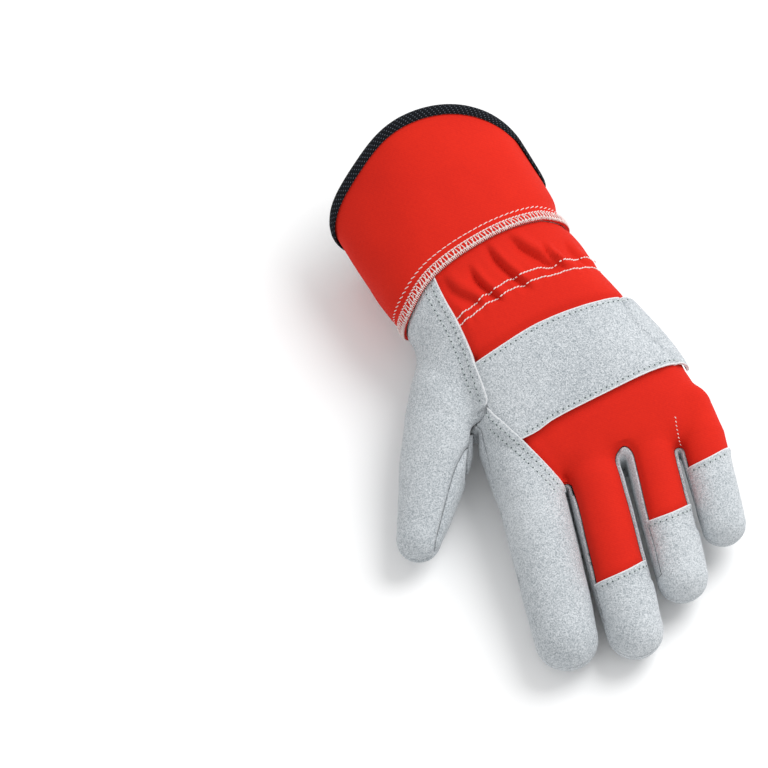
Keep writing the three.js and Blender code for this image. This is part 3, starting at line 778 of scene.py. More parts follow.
# The panels of the hand, cut by those distances.
def panelFields(f):
    both = [f["hand"], -f["thumbTop"], -f["thumbLow"], -f["gussets"]]
    tops, lows = np.minimum.reduce([f["above"], *both]), np.minimum.reduce([-f["above"], *both])
    tips = np.maximum.reduce([f["middleTip"], f["ringTip"], f["littleTip"]])
    panels = {
        "thumb_back": np.minimum.reduce([f["hand"], f["thumbBack"] + f["thumbOver"], f["thumbAbove"]]),
        "thumb_front": np.minimum(f["hand"], f["thumbLow"]),
        "index_back": np.minimum(tops, f["index"] + f["indexOver"]),
        "palm": np.minimum(lows, -f["front"]),
        "middle_ring_front": np.minimum(lows, f["front"]),
        "hand_back": np.minimum.reduce([tops, -f["index"], -tips]),
    }
    for name in stalls:
        panels[name + "_tip"] = np.minimum(tops, f[name + "Tip"] + lap["over"])
    for name in slits:
        panels[name + "_gusset"] = np.minimum(f["hand"], f[name + "Gusset"])
    return panels


# Distance to a panel's lapped edge, where it has one.
def lapDistance(name, points, f):
    y, none = points[:, 1], lap["none"]
    if name == "thumb_back":
        return np.where(y > lap["junction"], f["thumbBack"] + f["thumbOver"], none)
    if name == "index_back":
        onPanel = (y < lap["junction"]) & (y > lap["indexEnd"])
        return np.where(onPanel, f["index"] + f["indexOver"], none)
    if name.endswith("_tip"):
        return f[name[:-4] + "Tip"] + lap["over"]
    return np.full(len(y), none)


# Folds of the cloth over the wrist elastic, each from the cuff's side to the elastic's, in mm.
gathers = [
    dict(start=(-46, 51), end=(-36.5, 37.5), depth=2.4, width=2.0),
    dict(start=(-33.2, 51.6), end=(-26.2, 36.5), depth=3.0, width=1.4),
    dict(start=(-22.7, 59), end=(-12.5, 39), depth=3.0, width=1.5),
    dict(start=(-11, 61), end=(3.2, 44.5), depth=3.2, width=2.0),
    dict(start=(2.2, 54.5), end=(8, 43), depth=2.5, width=1.3),
    dict(start=(13, 55), end=(19, 45), depth=1.5, width=1.5),
]
elastic = {
    "first": [(-47.3, 32.6), (-40.9, 35.2), (-27.2, 39.9), (-12.6, 43.6), (6.9, 45.4), (17.9, 47.6),
              (26, 48.2)],
    "second": [(-47.3, 29.2), (-40, 31.8), (-26, 36), (-13, 38.6), (3, 40.1), (12, 41.3), (19, 42),
               (27, 42.8)],
    "puff": 0.7, "pinch": 0.45, "pucker": 0.28, "puckerLength": 5.2,
}
elasticLines = [smoothLine(elastic["first"]), smoothLine(elastic["second"])]


# Place along a stroke as a share of it, and distance to its left.
def strokeAxes(points, stroke):
    (ax, ay), (bx, by) = stroke["start"], stroke["end"]
    length = math.hypot(bx - ax, by - ay)
    ux, uy = (bx - ax) / length, (by - ay) / length
    x, y = points[:, 0] - ax, points[:, 1] - ay
    return (x * ux + y * uy) / length, y * ux - x * uy


# Height of the cloth at the wrist: tucks whose right side is steep, and lines that pinch it.
def gatherRelief(points):
    x, y = points[:, 0], points[:, 1]
    first, second = (beyondOf(line, x, y) for line in elasticLines)
    total = elastic["puff"] * bump(first - 9, 6) - elastic["pinch"] * (bump(first, 1) + bump(second, 1))
    wave = np.sin(x * (2 * np.pi / elastic["puckerLength"]) + 0.25 * y + 1.5 * lattice(points, 9.0, 21))
    total = total + elastic["pucker"] * wave * bump((first + second) / 2, 5)
    for fold in gathers:
        along, aside = strokeAxes(points, fold)
        aside = aside + 0.8 * np.sin(along * 4.0)
        ends = ramp(along, -0.25, 0.35) * ramp(along, 1.3, 0.95)
        wide = fold["width"] * np.where(aside > 0, 0.6, 1.7)
        total = total - fold["depth"] * ends * bump(aside, wide)
        crest = bump(aside - 1.9 * fold["width"], 1.2 * fold["width"])
        total = total + 0.45 * fold["depth"] * ends * crest
    return total


# Soft creases of the leather on the back of the thumb and of the index finger.
creases = [
    dict(start=(-66, 26), end=(-54, -6), depth=0.9, width=4.5),
    dict(start=(-74, 4), end=(-56, -13), depth=0.7, width=3.0),
    dict(start=(-52, -14), end=(-40, -34), depth=0.5, width=3.5),
    dict(start=(-58, -50), end=(-36, -60), depth=0.45, width=3.0),
    dict(start=(-62, -84), end=(-44, -88), depth=0.4, width=2.6),
]


def creaseRelief(points):
    total = np.zeros(len(points))
    for crease in creases:
        along, aside = strokeAxes(points, crease)
        total -= crease["depth"] * bump(aside, crease["width"]) * bump(along - 0.5, 0.6)
    return total


def softness(points):
    return 0.3 * lattice(points, 17.0, 3) + 0.15 * lattice(points, 7.0, 5)


# Dips of flush seams, shallower on the fingers, and of the cloth at its edge and beside the strap.
dips = {"seam": 0.95, "seamWidth": 1.0, "finger": 0.35, "fingerFrom": -46.0, "fingerTo": -54.0,
        "cloth": 1.1, "clothWidth": 2.4, "strap": 1.2, "strapWidth": 2.8, "thumb": 1.5,
        "side": 0.8, "sideFrom": 33.0, "sideTo": 40.0}


# How far a panel stands out from the filled hand: soft waves, dips at flush seams, and a rise
# towards a lapped edge that is higher where the strap lies under it.
def reliefOf(name, points, f, edge):
    if name == "hand_back":
        besideStrap = bump(np.minimum(f["strapTop"], f["strapLow"]) + 1.0, dips["strapWidth"])
        onBack = 1 - dips["side"] * ramp(points[:, 0], dips["sideFrom"], dips["sideTo"])
        level = softness(points) * 0.6 + gatherRelief(points)
        dip = dips["strap"] * besideStrap + dips["cloth"] * bump(edge, dips["clothWidth"])
        return level - onBack * dip
    if name.endswith("gusset"):
        return 0.15 + 0.5 * softness(points) - 0.2 * bump(edge, 0.7)
    lapped = lapDistance(name, points, f)
    y = points[:, 1]
    overStrap = ramp(y, lap["strapFrom"] - 2, lap["strapFrom"] + 3)
    overStrap = overStrap * ramp(y, lap["strapTo"] + 2, lap["strapTo"] - 3)
    rise = lap["rise"] + lap["strapRise"] * overStrap * (not name.endswith("_tip"))
    level = 0.15 + softness(points) + rise * (1 - ramp(lapped, 0.5, lap["ramp"] * (1 + overStrap)))
    if name in ("thumb_back", "index_back"):
        level = level + creaseRelief(points)
    onFinger = ramp(y, dips["fingerFrom"], dips["fingerTo"])
    depth = dips["seam"] + (dips["finger"] - dips["seam"]) * onFinger
    if name.startswith("thumb"):
        depth = dips["thumb"]
    return level - depth * bump(edge, dips["seamWidth"]) * (lapped > edge + 0.4) - 0.2 * bump(lapped, 0.4)


walls = {"cloth": 1.1, "gusset": 1.1, "leather": 1.5, "strap": 1.2}
seamRoom = 0.2  # left free along each panel's edge
handFields = seamFields(basePoints)


# One panel: the part of the hand's net inside its field, moved out by its relief and given a wall.
def makePanel(name, field, relief, lapped, kind, wall):
    perPoint = [baseNormals, relief[:, None], lapped[:, None]]
    points, faces, (normals, level, cutEdge) = clipMesh(
        basePoints, baseFaces, field - seamRoom, perPoint)
    normals = unit(normals)
    points = points + normals * level
    points[:, 2] = np.maximum(points[:, 2], size["restSkin"])
    solid, solidFaces, kinds = thicken(points, faces, normals, wall)
    values = np.concatenate([cutEdge.ravel(), cutEdge.ravel()])
    return addObject(name + "_skin", solid, solidFaces, [looks[kind], looks[kind + "Inside"]],
                     [name], values=values, kinds=kinds)


for name, field in panelFields(handFields).items():
    kind = "cloth" if name == "hand_back" else "leather"
    wall = walls["gusset" if name.endswith("gusset") else kind]
    slot = "red_cloth" if kind == "cloth" else kind
    relief = reliefOf(name, basePoints, handFields, field)
    lapped = lapDistance(name, basePoints, handFields)
    makePanel(name, field, relief, lapped, kind, wall)

# The strap over the knuckles lies on the cloth, and its far end is doubled past a seam.
strap = {
    "level": 1.75, "endRise": 0.5,
    "endSeam": [(46, -24), (41.1, -10.5), (35.4, -1.4), (29.9, 10), (28.6, 20.3), (27, 28)],
}
strapEndLine = smoothLine(strap["endSeam"])


def strapRelief(points, f):
    past = -leftOf(strapEndLine, points[:, 0], points[:, 1])
    besideThumb = np.where(points[:, 1] > lap["junction"], -f["thumbBack"], lap["none"])
    under = np.minimum(-f["index"], besideThumb)
    level = strap["level"] + softness(points) + strap["endRise"] * ramp(past, -0.2, 0.5)
    cutEdge = np.minimum(f["strapTop"], f["strapLow"])
    level = level - 0.8 * bump(past, 0.7) - 0.5 * (1 - ramp(under, 0.0, 2.5))
    return level - 0.2 * bump(cutEdge, 0.5), cutEdge


strapField = np.minimum.reduce([
    handFields["strapTop"], handFields["strapLow"], handFields["above"], -handFields["index"],
    -handFields["thumbBack"]])
strapLevel, strapEdge = strapRelief(basePoints, handFields)
makePanel("knuckle_strap", strapField, strapLevel, strapEdge, "leather", walls["strap"])
print("hand panels made")


# Flat places pressed into the cuff: the angle round it, the row of the loft, and their spreads.
cuffDents = [
    dict(angle=2.35, row=11.2, depth=0.075, spread=0.5, rows=2.2),
    dict(angle=3.1, row=11.2, depth=-0.085, spread=0.4, rows=1.3),
]


# Point of the cuff's loft: a superellipse in a plane that is turned and leans with the section.
def cuffPoint(angle, t):
    def read(key):
        return splineAt(columns[key], np.minimum(t, rimRow))
    half, rise = read("half"), (read("top") - read("low")) / 2
    for dent in cuffDents:
        off = np.abs((angle - dent["angle"] + np.pi) % (2 * np.pi) - np.pi)
        share = 1 - dent["depth"] * bump(off, dent["spread"]) * bump(t - dent["row"], dent["rows"])
        half, rise = half * share, rise * share
    square, turn = read("square"), read("turn")
    across = half * np.sign(np.cos(angle)) * np.abs(np.cos(angle)) ** square
    up = rise * np.sign(np.sin(angle)) * np.abs(np.sin(angle)) ** square
    out = read("lean") * np.where(up > 0, up, size["lowLean"] * up)
    past = np.clip(t - rimRow, 0, None) * size["cuffLength"]
    return np.stack([
        read("across") + across * np.cos(turn) - out * np.sin(turn),
        read("along") + past + across * np.sin(turn) + out * np.cos(turn),
        (read("top") + read("low")) / 2 + up,
    ], -1)


# Outward normal: the cross product of the steps along the cuff and round it.
def cuffNormal(angle, t, step=0.01):
    around = cuffPoint(angle + step, t) - cuffPoint(angle - step, t)
    along = cuffPoint(angle, t + step) - cuffPoint(angle, t - step)
    return unit(np.cross(along, around))


split = {"width": 12.0, "length": 20.0}
rimPlace = {key: float(values[-1]) for key, values in columns.items()}
splitMiddle = (rimPlace["top"] + rimPlace["low"]) / 2
splitSlope = split["width"] / 2 / split["length"]
splitTip = rimPlace["along"] - split["length"]


def splitField(points):
    x, y, z = points.T
    gap = (np.abs(z - splitMiddle) - (y - splitTip) * splitSlope) / math.hypot(1, splitSlope)
    return np.where(x > rimPlace["across"], gap, 50.0)


# The cloth bulges a little between its seam and its rim, and is folded over at the seam.
def cuffRelief(points, seam):
    fold = cuff["fold"] / (1 + np.exp((seam - cuff["foldEnd"]) / cuff["foldEdge"])) - 0.5 * bump(seam, 0.7)
    waves = 0.55 * lattice(points, 26.0, 8) + 0.2 * lattice(points, 9.0, 9)
    return fold + waves * np.clip(seam / 10, 0, 1)


cuff = {"count": (336, 76), "inside": 2.2, "rowLength": 22.0, "binding": 1.0, "corner": 7, "wall": 1.3,
        "fold": 1.25, "foldEnd": 4.6, "foldEdge": 0.35}
angle, t = np.meshgrid(
    np.linspace(0, 2 * np.pi, cuff["count"][0], endpoint=False) + 1e-4,
    np.linspace(seamRow - cuff["inside"], rimRow, cuff["count"][1]), indexing="ij")
cuffBase = cuffPoint(angle, t).reshape(-1, 3)
cuffNormals = cuffNormal(angle, t).reshape(-1, 3)
row, column = np.meshgrid(np.arange(cuff["count"][0]), np.arange(cuff["count"][1] - 1), indexing="ij")
corner = row * cuff["count"][1] + column
nextRow = ((row + 1) % cuff["count"][0]) * cuff["count"][1] + column
cuffQuads = np.stack([corner, nextRow, nextRow + 1, corner + 1], -1).reshape(-1, 4)
cuffFaces = toTriangles(cuffQuads)[:, ::-1]
toRim = (rimRow - t).reshape(-1) * cuff["rowLength"]


def makeCuff():
    seam = beyondOf(lines["cuff"], *cuffBase[:, :2].T)
    edges = smoothMin(splitField(cuffBase) - cuff["binding"], toRim - cuff["binding"], cuff["corner"])
    field = np.minimum(seam, edges)
    points, faces, (normals, seam) = clipMesh(
        cuffBase, cuffFaces, field, [cuffNormals, seam[:, None]])
    seam, normals = seam.ravel(), unit(normals)
    points = points + normals * cuffRelief(points, seam)[:, None]
    points[:, 2] = np.maximum(points[:, 2], size["restThread"])
    solid, solidFaces, kinds = thicken(points, faces, normals, cuff["wall"])
    return addObject("cuff_skin", solid, solidFaces, [looks["cloth"], looks["cuffInside"]],
                     ["cuff"], kinds=kinds)


makeCuff()

patch = {"width": 72.0, "reach": 24.0, "corner": 11.0, "highest": 22.0, "level": 1.5, "wave": 0.2,
         "wall": 1.0}
seamPlace = {key: float(values[seamRow]) for key, values in columns.items()}


# Distance inside the patch's outline, an oblong with round corners set along the cuff seam.
def patchField(points):
    x, y = points[:, 0] - seamPlace["across"], points[:, 1] - seamPlace["along"]
    side, up = math.cos(seamPlace["turn"]), math.sin(seamPlace["turn"])
    across, along = x * side + y * up, -x * up + y * side
    dx = np.abs(across) - (patch["width"] / 2 - patch["corner"])
    dy = np.abs(along) - (patch["reach"] - patch["corner"])
    outside = np.hypot(np.clip(dx, 0, None), np.clip(dy, 0, None)) + np.minimum(np.maximum(dx, dy), 0)
    return patch["corner"] - outside


def patchLevel(points):
    return patch["level"] + patch["wave"] * lattice(points, 14.0, 4)


def makePatch():
    seam = beyondOf(lines["cuff"], *cuffBase[:, :2].T)
    field = np.minimum.reduce([patchField(cuffBase), seam + 2.5, patch["highest"] - cuffBase[:, 2]])
    points, faces, (normals, edge) = clipMesh(
        cuffBase, cuffFaces, field, [cuffNormals, field[:, None]])
    edge, normals = edge.ravel(), unit(normals)
    points = points + normals * patchLevel(points)[:, None]
    points[:, 2] = np.maximum(points[:, 2], size["restSkin"])
    solid, solidFaces, kinds = thicken(points, faces, normals, patch["wall"])
    return addObject("pulse_patch_skin", solid, solidFaces, [looks["leather"], looks["leatherInside"]],
                     ["pulse_patch"], values=np.concatenate([edge, edge]), kinds=kinds)


makePatch()

binding = {"width": 3.9, "step": 0.8, "rounds": 14}


# Path of the tape in the cuff's own angle and row: out along one edge of the split, round the
# rim, and back along the other edge, with its corners rounded.
def bindingPath():
    wholeTurn = np.array([2 * np.pi, 0])
    tipRow = float(np.interp(splitTip + 1.0, fine["along"], fineT))
    rows = np.linspace(tipRow, rimRow, 40)
    sides = []
    for sign in (1, -1):
        bend = np.zeros(len(rows))
        for _ in range(12):
            spot = cuffPoint(bend, rows)
            lift = sign * np.clip((spot[:, 1] - splitTip) * splitSlope, 0.2, None) + splitMiddle
            middle = (splineAt(columns["top"], rows) + splineAt(columns["low"], rows)) / 2
            rise = (splineAt(columns["top"], rows) - splineAt(columns["low"], rows)) / 2
            share = np.clip((lift - middle) / rise, -0.99, 0.99)
            bend = np.arcsin(np.sign(share) * np.abs(share) ** (1 / splineAt(columns["square"], rows)))
        sides.append(np.stack([bend, rows], 1))
    around = np.linspace(sides[0][-1, 0], 2 * np.pi + sides[1][-1, 0], 400)
    whole = np.concatenate([
        sides[0][:-1], np.stack([around, np.full(400, float(rimRow))], 1),
        sides[1][::-1][1:] + wholeTurn,
    ])
    spots = cuffPoint(whole[:, 0], whole[:, 1])
    length = np.concatenate([[0], np.cumsum(np.linalg.norm(np.diff(spots, axis=0), axis=1))])
    even = np.linspace(0, length[-1], int(length[-1] / binding["step"]), endpoint=False)
    whole = np.stack([np.interp(even, length, whole[:, i]) for i in (0, 1)], 1)
    for _ in range(binding["rounds"]):
        before = np.concatenate([whole[-1:] - wholeTurn, whole[:-1]])
        after = np.concatenate([whole[1:], whole[:1] + wholeTurn])
        whole = (before + 2 * whole + after) / 4
    return whole, even


# Quads between rings of points, with the last ring joined to the first where it is a loop.
def ringQuads(count, sides, loop=False):
    i, j = np.meshgrid(np.arange(count if loop else count - 1), np.arange(sides), indexing="ij")
    a, b = i * sides + j, i * sides + (j + 1) % sides
    c, d = ((i + 1) % count) * sides + (j + 1) % sides, ((i + 1) % count) * sides + j
    return np.stack([a, b, c, d], -1).reshape(-1, 4)


# The tape's section, out from the cloth's edge and up from its outside, carried along the path.
def makeBinding():
    path, even = bindingPath()
    spots, normal = cuffPoint(*path.T), cuffNormal(*path.T)
    spots = spots + normal * (0.45 * lattice(spots, 26.0, 8))[:, None]
    tangent = unit(np.roll(spots, -1, 0) - np.roll(spots, 1, 0))
    out = unit(np.cross(tangent, normal))
    w = binding["width"]
    profile = np.array([
        (-w + 0.1, 0.1), (-w - 0.1, 0.5), (-w + 0.3, 1.05), (-w * 0.62, 1.45), (-w * 0.3, 1.6),
        (-0.2, 1.45), (0.65, 1.0), (1.2, 0.25), (1.4, -0.65), (1.2, -1.55), (0.6, -2.3), (-0.3, -2.75),
        (-w * 0.4, -2.9),
        (-w * 0.7, -2.75), (-w + 0.3, -2.4), (-w - 0.1, -1.9), (-w + 0.1, -1.5), (-w * 0.5, -1.45),
        (-0.4, -1.3), (0.1, -0.7), (-0.4, 0.0), (-w * 0.5, 0.08),
    ])
    wobble = 1 + 0.05 * lattice(spots, 6.0, 12)
    a, b = profile[:, 0][None, :, None], profile[:, 1][None, :, None] * wobble[:, None, None]
    points = (spots[:, None, :] + out[:, None, :] * a + normal[:, None, :] * b).reshape(-1, 3)
    faces = toTriangles(ringQuads(len(spots), len(profile), True))
    across = np.concatenate([[0], np.cumsum(np.linalg.norm(np.diff(profile, axis=0), axis=1))])
    uvs = np.stack(np.meshgrid(even, across, indexing="ij"), -1).reshape(-1, 2)
    points[:, 2] = np.maximum(points[:, 2], size["restThread"])
    return addObject("cuff_binding_tape", points, faces, [looks["tape"]],
                     ["cuff_binding"], uvs=uvs)


makeBinding()
print("cuff made")


# Height of the hand's surface over or under a place seen from above, by halving.
def surfaceUnder(x, y, top=True):
    x, y = np.asarray(x, float), np.asarray(y, float)
    inner = seamHeight(y)
    outer = np.full(len(x), net["high"][2] + 16.0 if top else net["low"][2] - 7.0)
    for _ in range(30):
        middle = (inner + outer) / 2
        isIn = gloveField(x, y, middle) < 0
        inner, outer = np.where(isIn, middle, inner), np.where(isIn, outer, middle)
    return np.stack([x, y, inner], 1)


# Places at an even pitch along a line seen from above that is moved aside, on the surface.
def rowOnHand(line, aside, pitch, start=0.0, end=1.0, shift=0.0, top=True, wave=0.0):
    tangent = unit(np.gradient(line, axis=0))
    moved = line + np.stack([-tangent[:, 1], tangent[:, 0]], 1) * aside
    spots = surfaceUnder(moved[:, 0], moved[:, 1], top)
    length = np.concatenate([[0], np.cumsum(np.linalg.norm(np.diff(spots, axis=0), axis=1))])
    even = np.arange(start * length[-1] + shift * pitch, end * length[-1], pitch)
    x, y = (np.interp(even, length, spots[:, i]) for i in (0, 1))
    if wave:
        y = y + wave * np.sin(even * 0.45) + 0.5 * wave * np.sin(even * 1.1 + 1)
    spots = surfaceUnder(x, y, top)
    return spots, unit(gradientOf(spots))


# Many short threads as one mesh: each is a tube of rings that dips at both its ends.
def threads(spots, normals, directions, length, radius, dip=0.5, sides=6):
    places = np.linspace(-1, 1, 6)
    swell = np.sqrt(np.clip(1 - np.abs(places) ** 4, 0.06, None))
    turn = np.linspace(0, 2 * np.pi, sides, endpoint=False)
    directions = unit(directions - normals * (directions * normals).sum(1, keepdims=True))
    across = np.cross(normals, directions)
    length = np.broadcast_to(length, len(spots))
    ringX = places[:, None] * np.ones(sides)
    ringY = swell[:, None] * np.cos(turn)
    ringZ = swell[:, None] * np.sin(turn)
    lift = -dip * places[:, None] ** 2 * np.ones(sides)
    points = (
        spots[:, None, None, :]
        + directions[:, None, None, :] * (ringX[None, :, :, None] * length[:, None, None, None] / 2)
        + across[:, None, None, :] * (radius * ringY)[None, :, :, None]
        + normals[:, None, None, :] * (radius * ringZ + lift)[None, :, :, None]
    ).reshape(-1, 3)
    one = toTriangles(ringQuads(len(places), sides))
    ends = []
    for start, order in ((0, -1), ((len(places) - 1) * sides, 1)):
        for k in range(1, sides - 1):
            ends.append([start, start + k, start + k + 1][::order])
    one = np.concatenate([one, np.array(ends)])
    step = len(places) * sides
    faces = (one[None] + np.arange(len(spots))[:, None, None] * step).reshape(-1, 3)
    return points, faces


class StitchWork:
    def __init__(self, name, look):
        self.name, self.look, self.points, self.faces, self.count = name, look, [], [], 0

    def add(self, points, faces):
        self.points.append(points)
        self.faces.append(faces + self.count)
        self.count += len(points)

    # One row of threads on a panel: their pitch, length, radius, dip and slant, and the height
    # of their middles over the panel.
    def row(self, line, aside, panel, pitch, length, radius, dip, lift, slant=0.0, **where):
        spots, normals = rowOnHand(line, aside, pitch, **where)
        directions = np.gradient(spots, axis=0)
        directions = directions + np.cross(normals, directions) * slant
        spots = spots + normals * (panelLevel(panel, spots) + lift)[:, None]
        self.add(*threads(spots, normals, directions, length, radius, dip))

    def finish(self):
        points = np.concatenate(self.points)
        points[:, 2] = np.maximum(points[:, 2], size["restThread"])
        return addObject(self.name, points, np.concatenate(self.faces),
                         [looks[self.look]])


def panelLevel(name, points):
    f = seamFields(points)
    if name == "knuckle_strap":
        return strapRelief(points, f)[0]
    return reliefOf(name, points, f, panelFields(f)[name])


def stallRow(name, share=0.38):
    stall, digit = stalls[name], digits[name]
    px = digitPoint(digit, stall["end"])[0]
    reach = share * digit["width"]
    across = np.linspace(px - reach, px + reach, 30)
    return np.stack([across, stallEdge(name, across)], 1)


def part(line, low, high):
    return line[(line[:, 0] > low) & (line[:, 0] < high)]


# Threads of each kind of row, in mm: how far apart, how long and thick, how much their ends dip,
# and how high their middles lie.
stitches = {
    "edge": dict(pitch=2.75, length=1.9, radius=0.25, dip=0.32, lift=0.02),
    # The hole rows are short dark dots between the threads: painted shade where the needle holes are.
    "hole": dict(pitch=2.75, length=0.75, radius=0.38, dip=0.1, lift=-0.02),
    "patch": dict(pitch=2.75, length=1.9, radius=0.25, dip=0.3, lift=0.02),
    "wrist": dict(pitch=1.7, length=1.9, radius=0.3, dip=0.15, lift=0.25, slant=0.2, wave=0.22),
    "tack": dict(pitch=1.9, length=1.2, radius=0.22, dip=0.2, lift=0.12, slant=0.5),
}
# Rows on the leather: line, distance aside, panel, and where the row starts and ends.
leatherRows = [
    (lines["thumbPanel"], 2.0, "thumb_back", 0.03, 0.76),
    (lines["thumbPanel"], 5.4, "thumb_back", 0.1, 0.74),
    (lines["indexPanel"], 1.9, "index_back", 0.1, 0.97),
    (lines["indexPanel"], 5.0, "index_back", 0.06, 0.86),
    (part(lines["strapTop"], -43.5, 31), -2.3, "knuckle_strap", 0.02, 1.0),
    (part(lines["strapLow"], -35, 44), 2.1, "knuckle_strap", 0.02, 1.0),
    (stallRow("middle"), -1.6, "middle_tip", 0.0, 1.0),
    (stallRow("ring"), -1.6, "ring_tip", 0.0, 1.0),
    (stallRow("little"), -1.6, "little_tip", 0.0, 1.0),
]
threadWork = StitchWork("leather_threads", "paleThread")
# Dark dots set into the leather between the threads, as painted shade of the needle holes.
holeShadeWork = StitchWork("leather_hole_shade_dots", "holeShade")
for line, aside, panel, start, end in leatherRows:
    threadWork.row(line, aside, panel, **stitches["edge"], start=start, end=end)
    holeShadeWork.row(line, aside, panel, **stitches["hole"], start=start, end=end, shift=0.5)
threadWork.finish()
holeShadeWork.finish()


# Path inside the patch's outline, seen from above: up one side, over the top, down the other.
def patchPath(inset, foot=4.0):
    side, up = math.cos(seamPlace["turn"]), math.sin(seamPlace["turn"])
    reach, width = patch["reach"] - inset, patch["width"] / 2 - inset
    corner = patch["corner"] - inset
    turn = np.linspace(0, np.pi / 2, 8)
    bendX, bendY = corner * (1 - np.sin(turn)), corner * (1 - np.cos(turn))
    across = np.concatenate([-width + bendX, width - bendX[::-1]])
    along = np.concatenate([reach - bendY[::-1], reach - bendY])
    order = np.argsort(across)
    across, along = np.r_[-width, across[order], width], np.r_[foot, along[order], foot]
    x = seamPlace["across"] + across * side - along * up
    y = seamPlace["along"] + across * up + along * side
    return np.stack([x, y], 1)


# One row of threads on the patch, along a path that is first cut into many short parts.
def alongPatch(work, line, pitch, length, radius, dip, lift):
    share, ends = np.linspace(0, 1, 200), np.linspace(0, 1, len(line))
    dense = np.stack([np.interp(share, ends, line[:, i]) for i in (0, 1)], 1)
    spots, normals = rowOnHand(dense, 0.0, pitch, top=False)
    level = patchLevel(spots) + lift
    directions = np.gradient(spots, axis=0)
    work.add(*threads(spots + normals * level[:, None], normals, directions, length, radius, dip))


crossRow = part(lines["cross"], -19, 32)
thumbRow = palmLine("thumbPalm")
palmWork = StitchWork("palm_threads", "paleThread")
for line, aside, panel in (
        (crossRow, 2.0, "palm"), (crossRow, -2.0, "middle_ring_front"),
        (thumbRow, 2.0, "palm"), (thumbRow, -2.0, "thumb_front")):
    palmWork.row(line, aside, panel, **stitches["edge"], start=0.03, end=0.95, top=False)
alongPatch(palmWork, patchPath(2.5), **stitches["patch"])
palmWork.finish()

work = StitchWork("wrist_stitches", "whiteThread")
for line in elasticLines:
    work.row(line, 0.0, "hand_back", **stitches["wrist"])
tack = [(34.8, -38.5), (34.2, -42.0), (33.9, -45.5), (33.7, -49.0)]
work.row(smoothLine(tack), 0.0, "hand_back", **stitches["tack"])
work.finish()

# The cuff seam all the way round: the place in the loft where each angle meets the seam.
seamAngles = np.linspace(0, 2 * np.pi, 1200, endpoint=False) + 1e-4
seamRows = np.full(len(seamAngles), float(seamRow))
low, high = seamRows - cuff["inside"], seamRows + 1.5
for _ in range(30):
    seamRows = (low + high) / 2
    spot = cuffPoint(seamAngles, seamRows)
    isPast = beyondOf(lines["cuff"], spot[:, 0], spot[:, 1]) > 0
    low, high = np.where(isPast, low, seamRows), np.where(isPast, seamRows, high)


# Points on the cuff at a distance past its seam, at an even pitch round it, where no patch lies.
def rowOnCuff(past, pitch, shift=0.0):
    spots = cuffPoint(seamAngles, seamRows)
    length = np.concatenate([[0], np.cumsum(np.linalg.norm(np.diff(spots, axis=0), axis=1))])
    even = np.arange(pitch * shift, length[-1] - pitch / 2, pitch)
    bend, rows = np.interp(even, length, seamAngles), np.interp(even, length, seamRows)
    forward = cuffPoint(bend, rows + 0.05) - cuffPoint(bend, rows - 0.05)
    rows = rows + past * 0.1 / np.linalg.norm(forward, axis=1)
    spots, normals = cuffPoint(bend, rows), cuffNormal(bend, rows)
    seam = beyondOf(lines["cuff"], spots[:, 0], spots[:, 1])
    spots = spots + normals * cuffRelief(spots, seam)[:, None]
    shown = (patchField(spots) < 0) | (spots[:, 2] > patch["highest"])
    return spots[shown], normals[shown], unit(forward)[shown]


# The overlock: two rails and a running row along the seam, and loops across it, in mm past it.
overlock = {
    "along": [
        dict(past=4.4, pitch=1.7, length=1.75, radius=0.27, dip=0.1),
        dict(past=1.3, pitch=1.7, length=1.75, radius=0.27, dip=0.1),
        dict(past=8.0, pitch=2.8, length=2.5, radius=0.22, dip=0.2),
    ],
    "across": [
        dict(low=0.1, high=4.4, pitch=1.7, shift=0.0, slant=0.25, radius=0.23, seed=1),
        dict(low=0.1, high=4.4, pitch=3.4, shift=0.5, slant=-0.35, radius=0.23, seed=2),
        dict(low=-0.2, high=1.6, pitch=0.9, shift=0.0, slant=0.1, radius=0.2, seed=3),
    ],
    "railLift": 0.16, "loopLift": 0.22, "loopDip": 0.35, "scatter": 0.22,
}


def alongCuff(work, past, pitch, length, radius, dip):
    spots, normals, forward = rowOnCuff(past, pitch)
    spots = spots + normals * overlock["railLift"]
    work.add(*threads(spots, normals, np.cross(normals, forward), length, radius, dip))


def acrossCuff(work, low, high, pitch, shift, slant, radius, seed):
    spots, normals, forward = rowOnCuff((low + high) / 2, pitch, shift)
    turn = slant + overlock["scatter"] * np.random.default_rng(seed).uniform(-1, 1, len(spots))
    directions = forward + np.cross(normals, forward) * turn[:, None]
    spots = spots + normals * overlock["loopLift"]
    work.add(*threads(spots, normals, directions, high - low, radius, overlock["loopDip"]))


work = StitchWork("cuff_overlock", "whiteThread")
for row in overlock["along"]:
    alongCuff(work, **row)
for row in overlock["across"]:
    acrossCuff(work, **row)
work.finish()
print("stitches made")

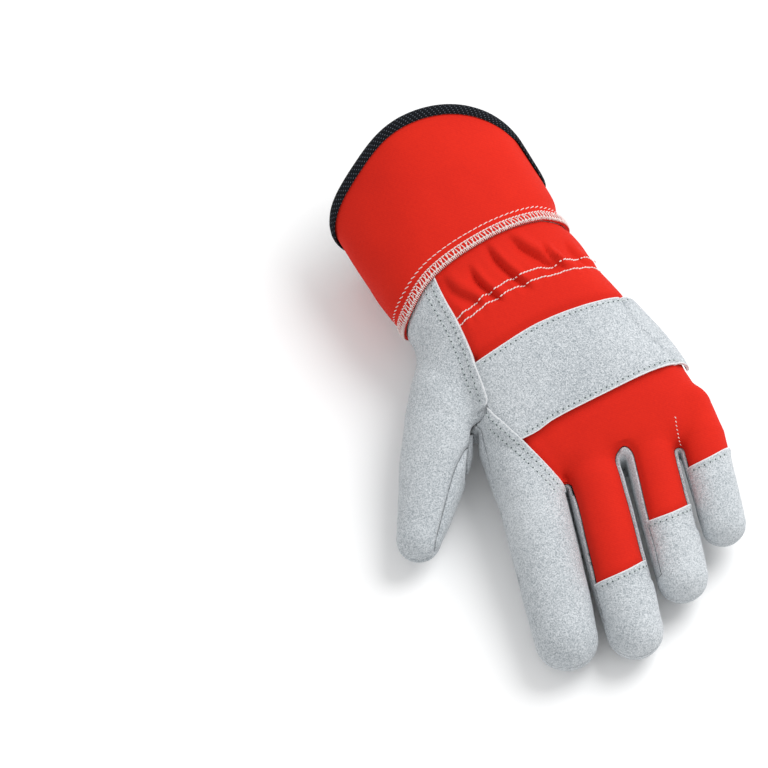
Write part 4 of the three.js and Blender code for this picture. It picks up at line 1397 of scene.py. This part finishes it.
ground = {"reach": 3.0, "deep": (0.90, 0.905, 0.91), "pale": (0.93, 0.93, 0.93), "cloud": 3.0}
reach = ground["reach"]
floor = bpy.data.meshes.new("floor")
corners = [(-reach, -reach, 0), (reach, -reach, 0), (reach, reach, 0), (-reach, reach, 0)]
floor.from_pydata(corners, [], [(0, 1, 2, 3)])
floorFinish = Finish("floor_white")
floorTone = floorFinish.noise(floorFinish.place(), ground["cloud"], 2.0, 0.5)
floorColour = floorFinish.blend(floorTone, ground["deep"], ground["pale"])
floor.materials.append(floorFinish.set(Base_Color=floorColour, Roughness=0.8))
floorPiece = bpy.data.objects.new("floor", floor)
bpy.context.scene.collection.objects.link(floorPiece)

# The camera looks from the fingertips' side, a little from the thumb's side, through a long lens.
view = {"azimuth": -18.0, "elevation": 66.0, "distance": 8.0, "scale": 0.455 * mm,
        "imageSide": 768, "originPixel": (575, 400)}


def addCamera():
    az, el = math.radians(view["azimuth"]), math.radians(view["elevation"])
    back = Vector((math.sin(az) * math.cos(el), -math.cos(az) * math.cos(el), math.sin(el)))
    right = Vector((math.cos(az), math.sin(az), 0))
    up = back.cross(right)
    middle = view["imageSide"] / 2
    aim = right * ((middle - view["originPixel"][0]) * view["scale"])
    aim += up * ((view["originPixel"][1] - middle) * view["scale"])
    data = bpy.data.cameras.new("camera")
    data.sensor_width = 36
    data.lens = 36 * view["distance"] / (view["imageSide"] * view["scale"])
    data.clip_end = 40
    camera = bpy.data.objects.new("camera", data)
    turn = Matrix((right, up, back)).transposed().to_4x4()
    camera.matrix_world = Matrix.Translation(aim + back * view["distance"]) @ turn
    bpy.context.scene.collection.objects.link(camera)
    bpy.context.scene.camera = camera


addCamera()


def addLight(name, spot, width, power):
    data = bpy.data.lights.new(name, "AREA")
    data.shape, data.size, data.energy = "DISK", width, power
    lamp = bpy.data.objects.new(name, data)
    spot = Vector(spot)
    lamp.location = spot
    lamp.rotation_euler = (-spot).to_track_quat("-Z", "Y").to_euler()
    bpy.context.scene.collection.objects.link(lamp)


lights = {
    "key": dict(spot=(0.95, 0.4, 1.3), width=1.2, power=21),
    "fill": dict(spot=(-0.9, -0.9, 1.2), width=1.4, power=2),
}
worldLight = 0.76
for name, lamp in lights.items():
    addLight(name, **lamp)
world = bpy.data.worlds.new("studio")
world.use_nodes = True
world.node_tree.nodes["Background"].inputs[0].default_value = (1, 1, 1, 1)
world.node_tree.nodes["Background"].inputs[1].default_value = worldLight
bpy.context.scene.world = world
bpy.context.scene.view_settings.view_transform = "Standard"
print("stage set")
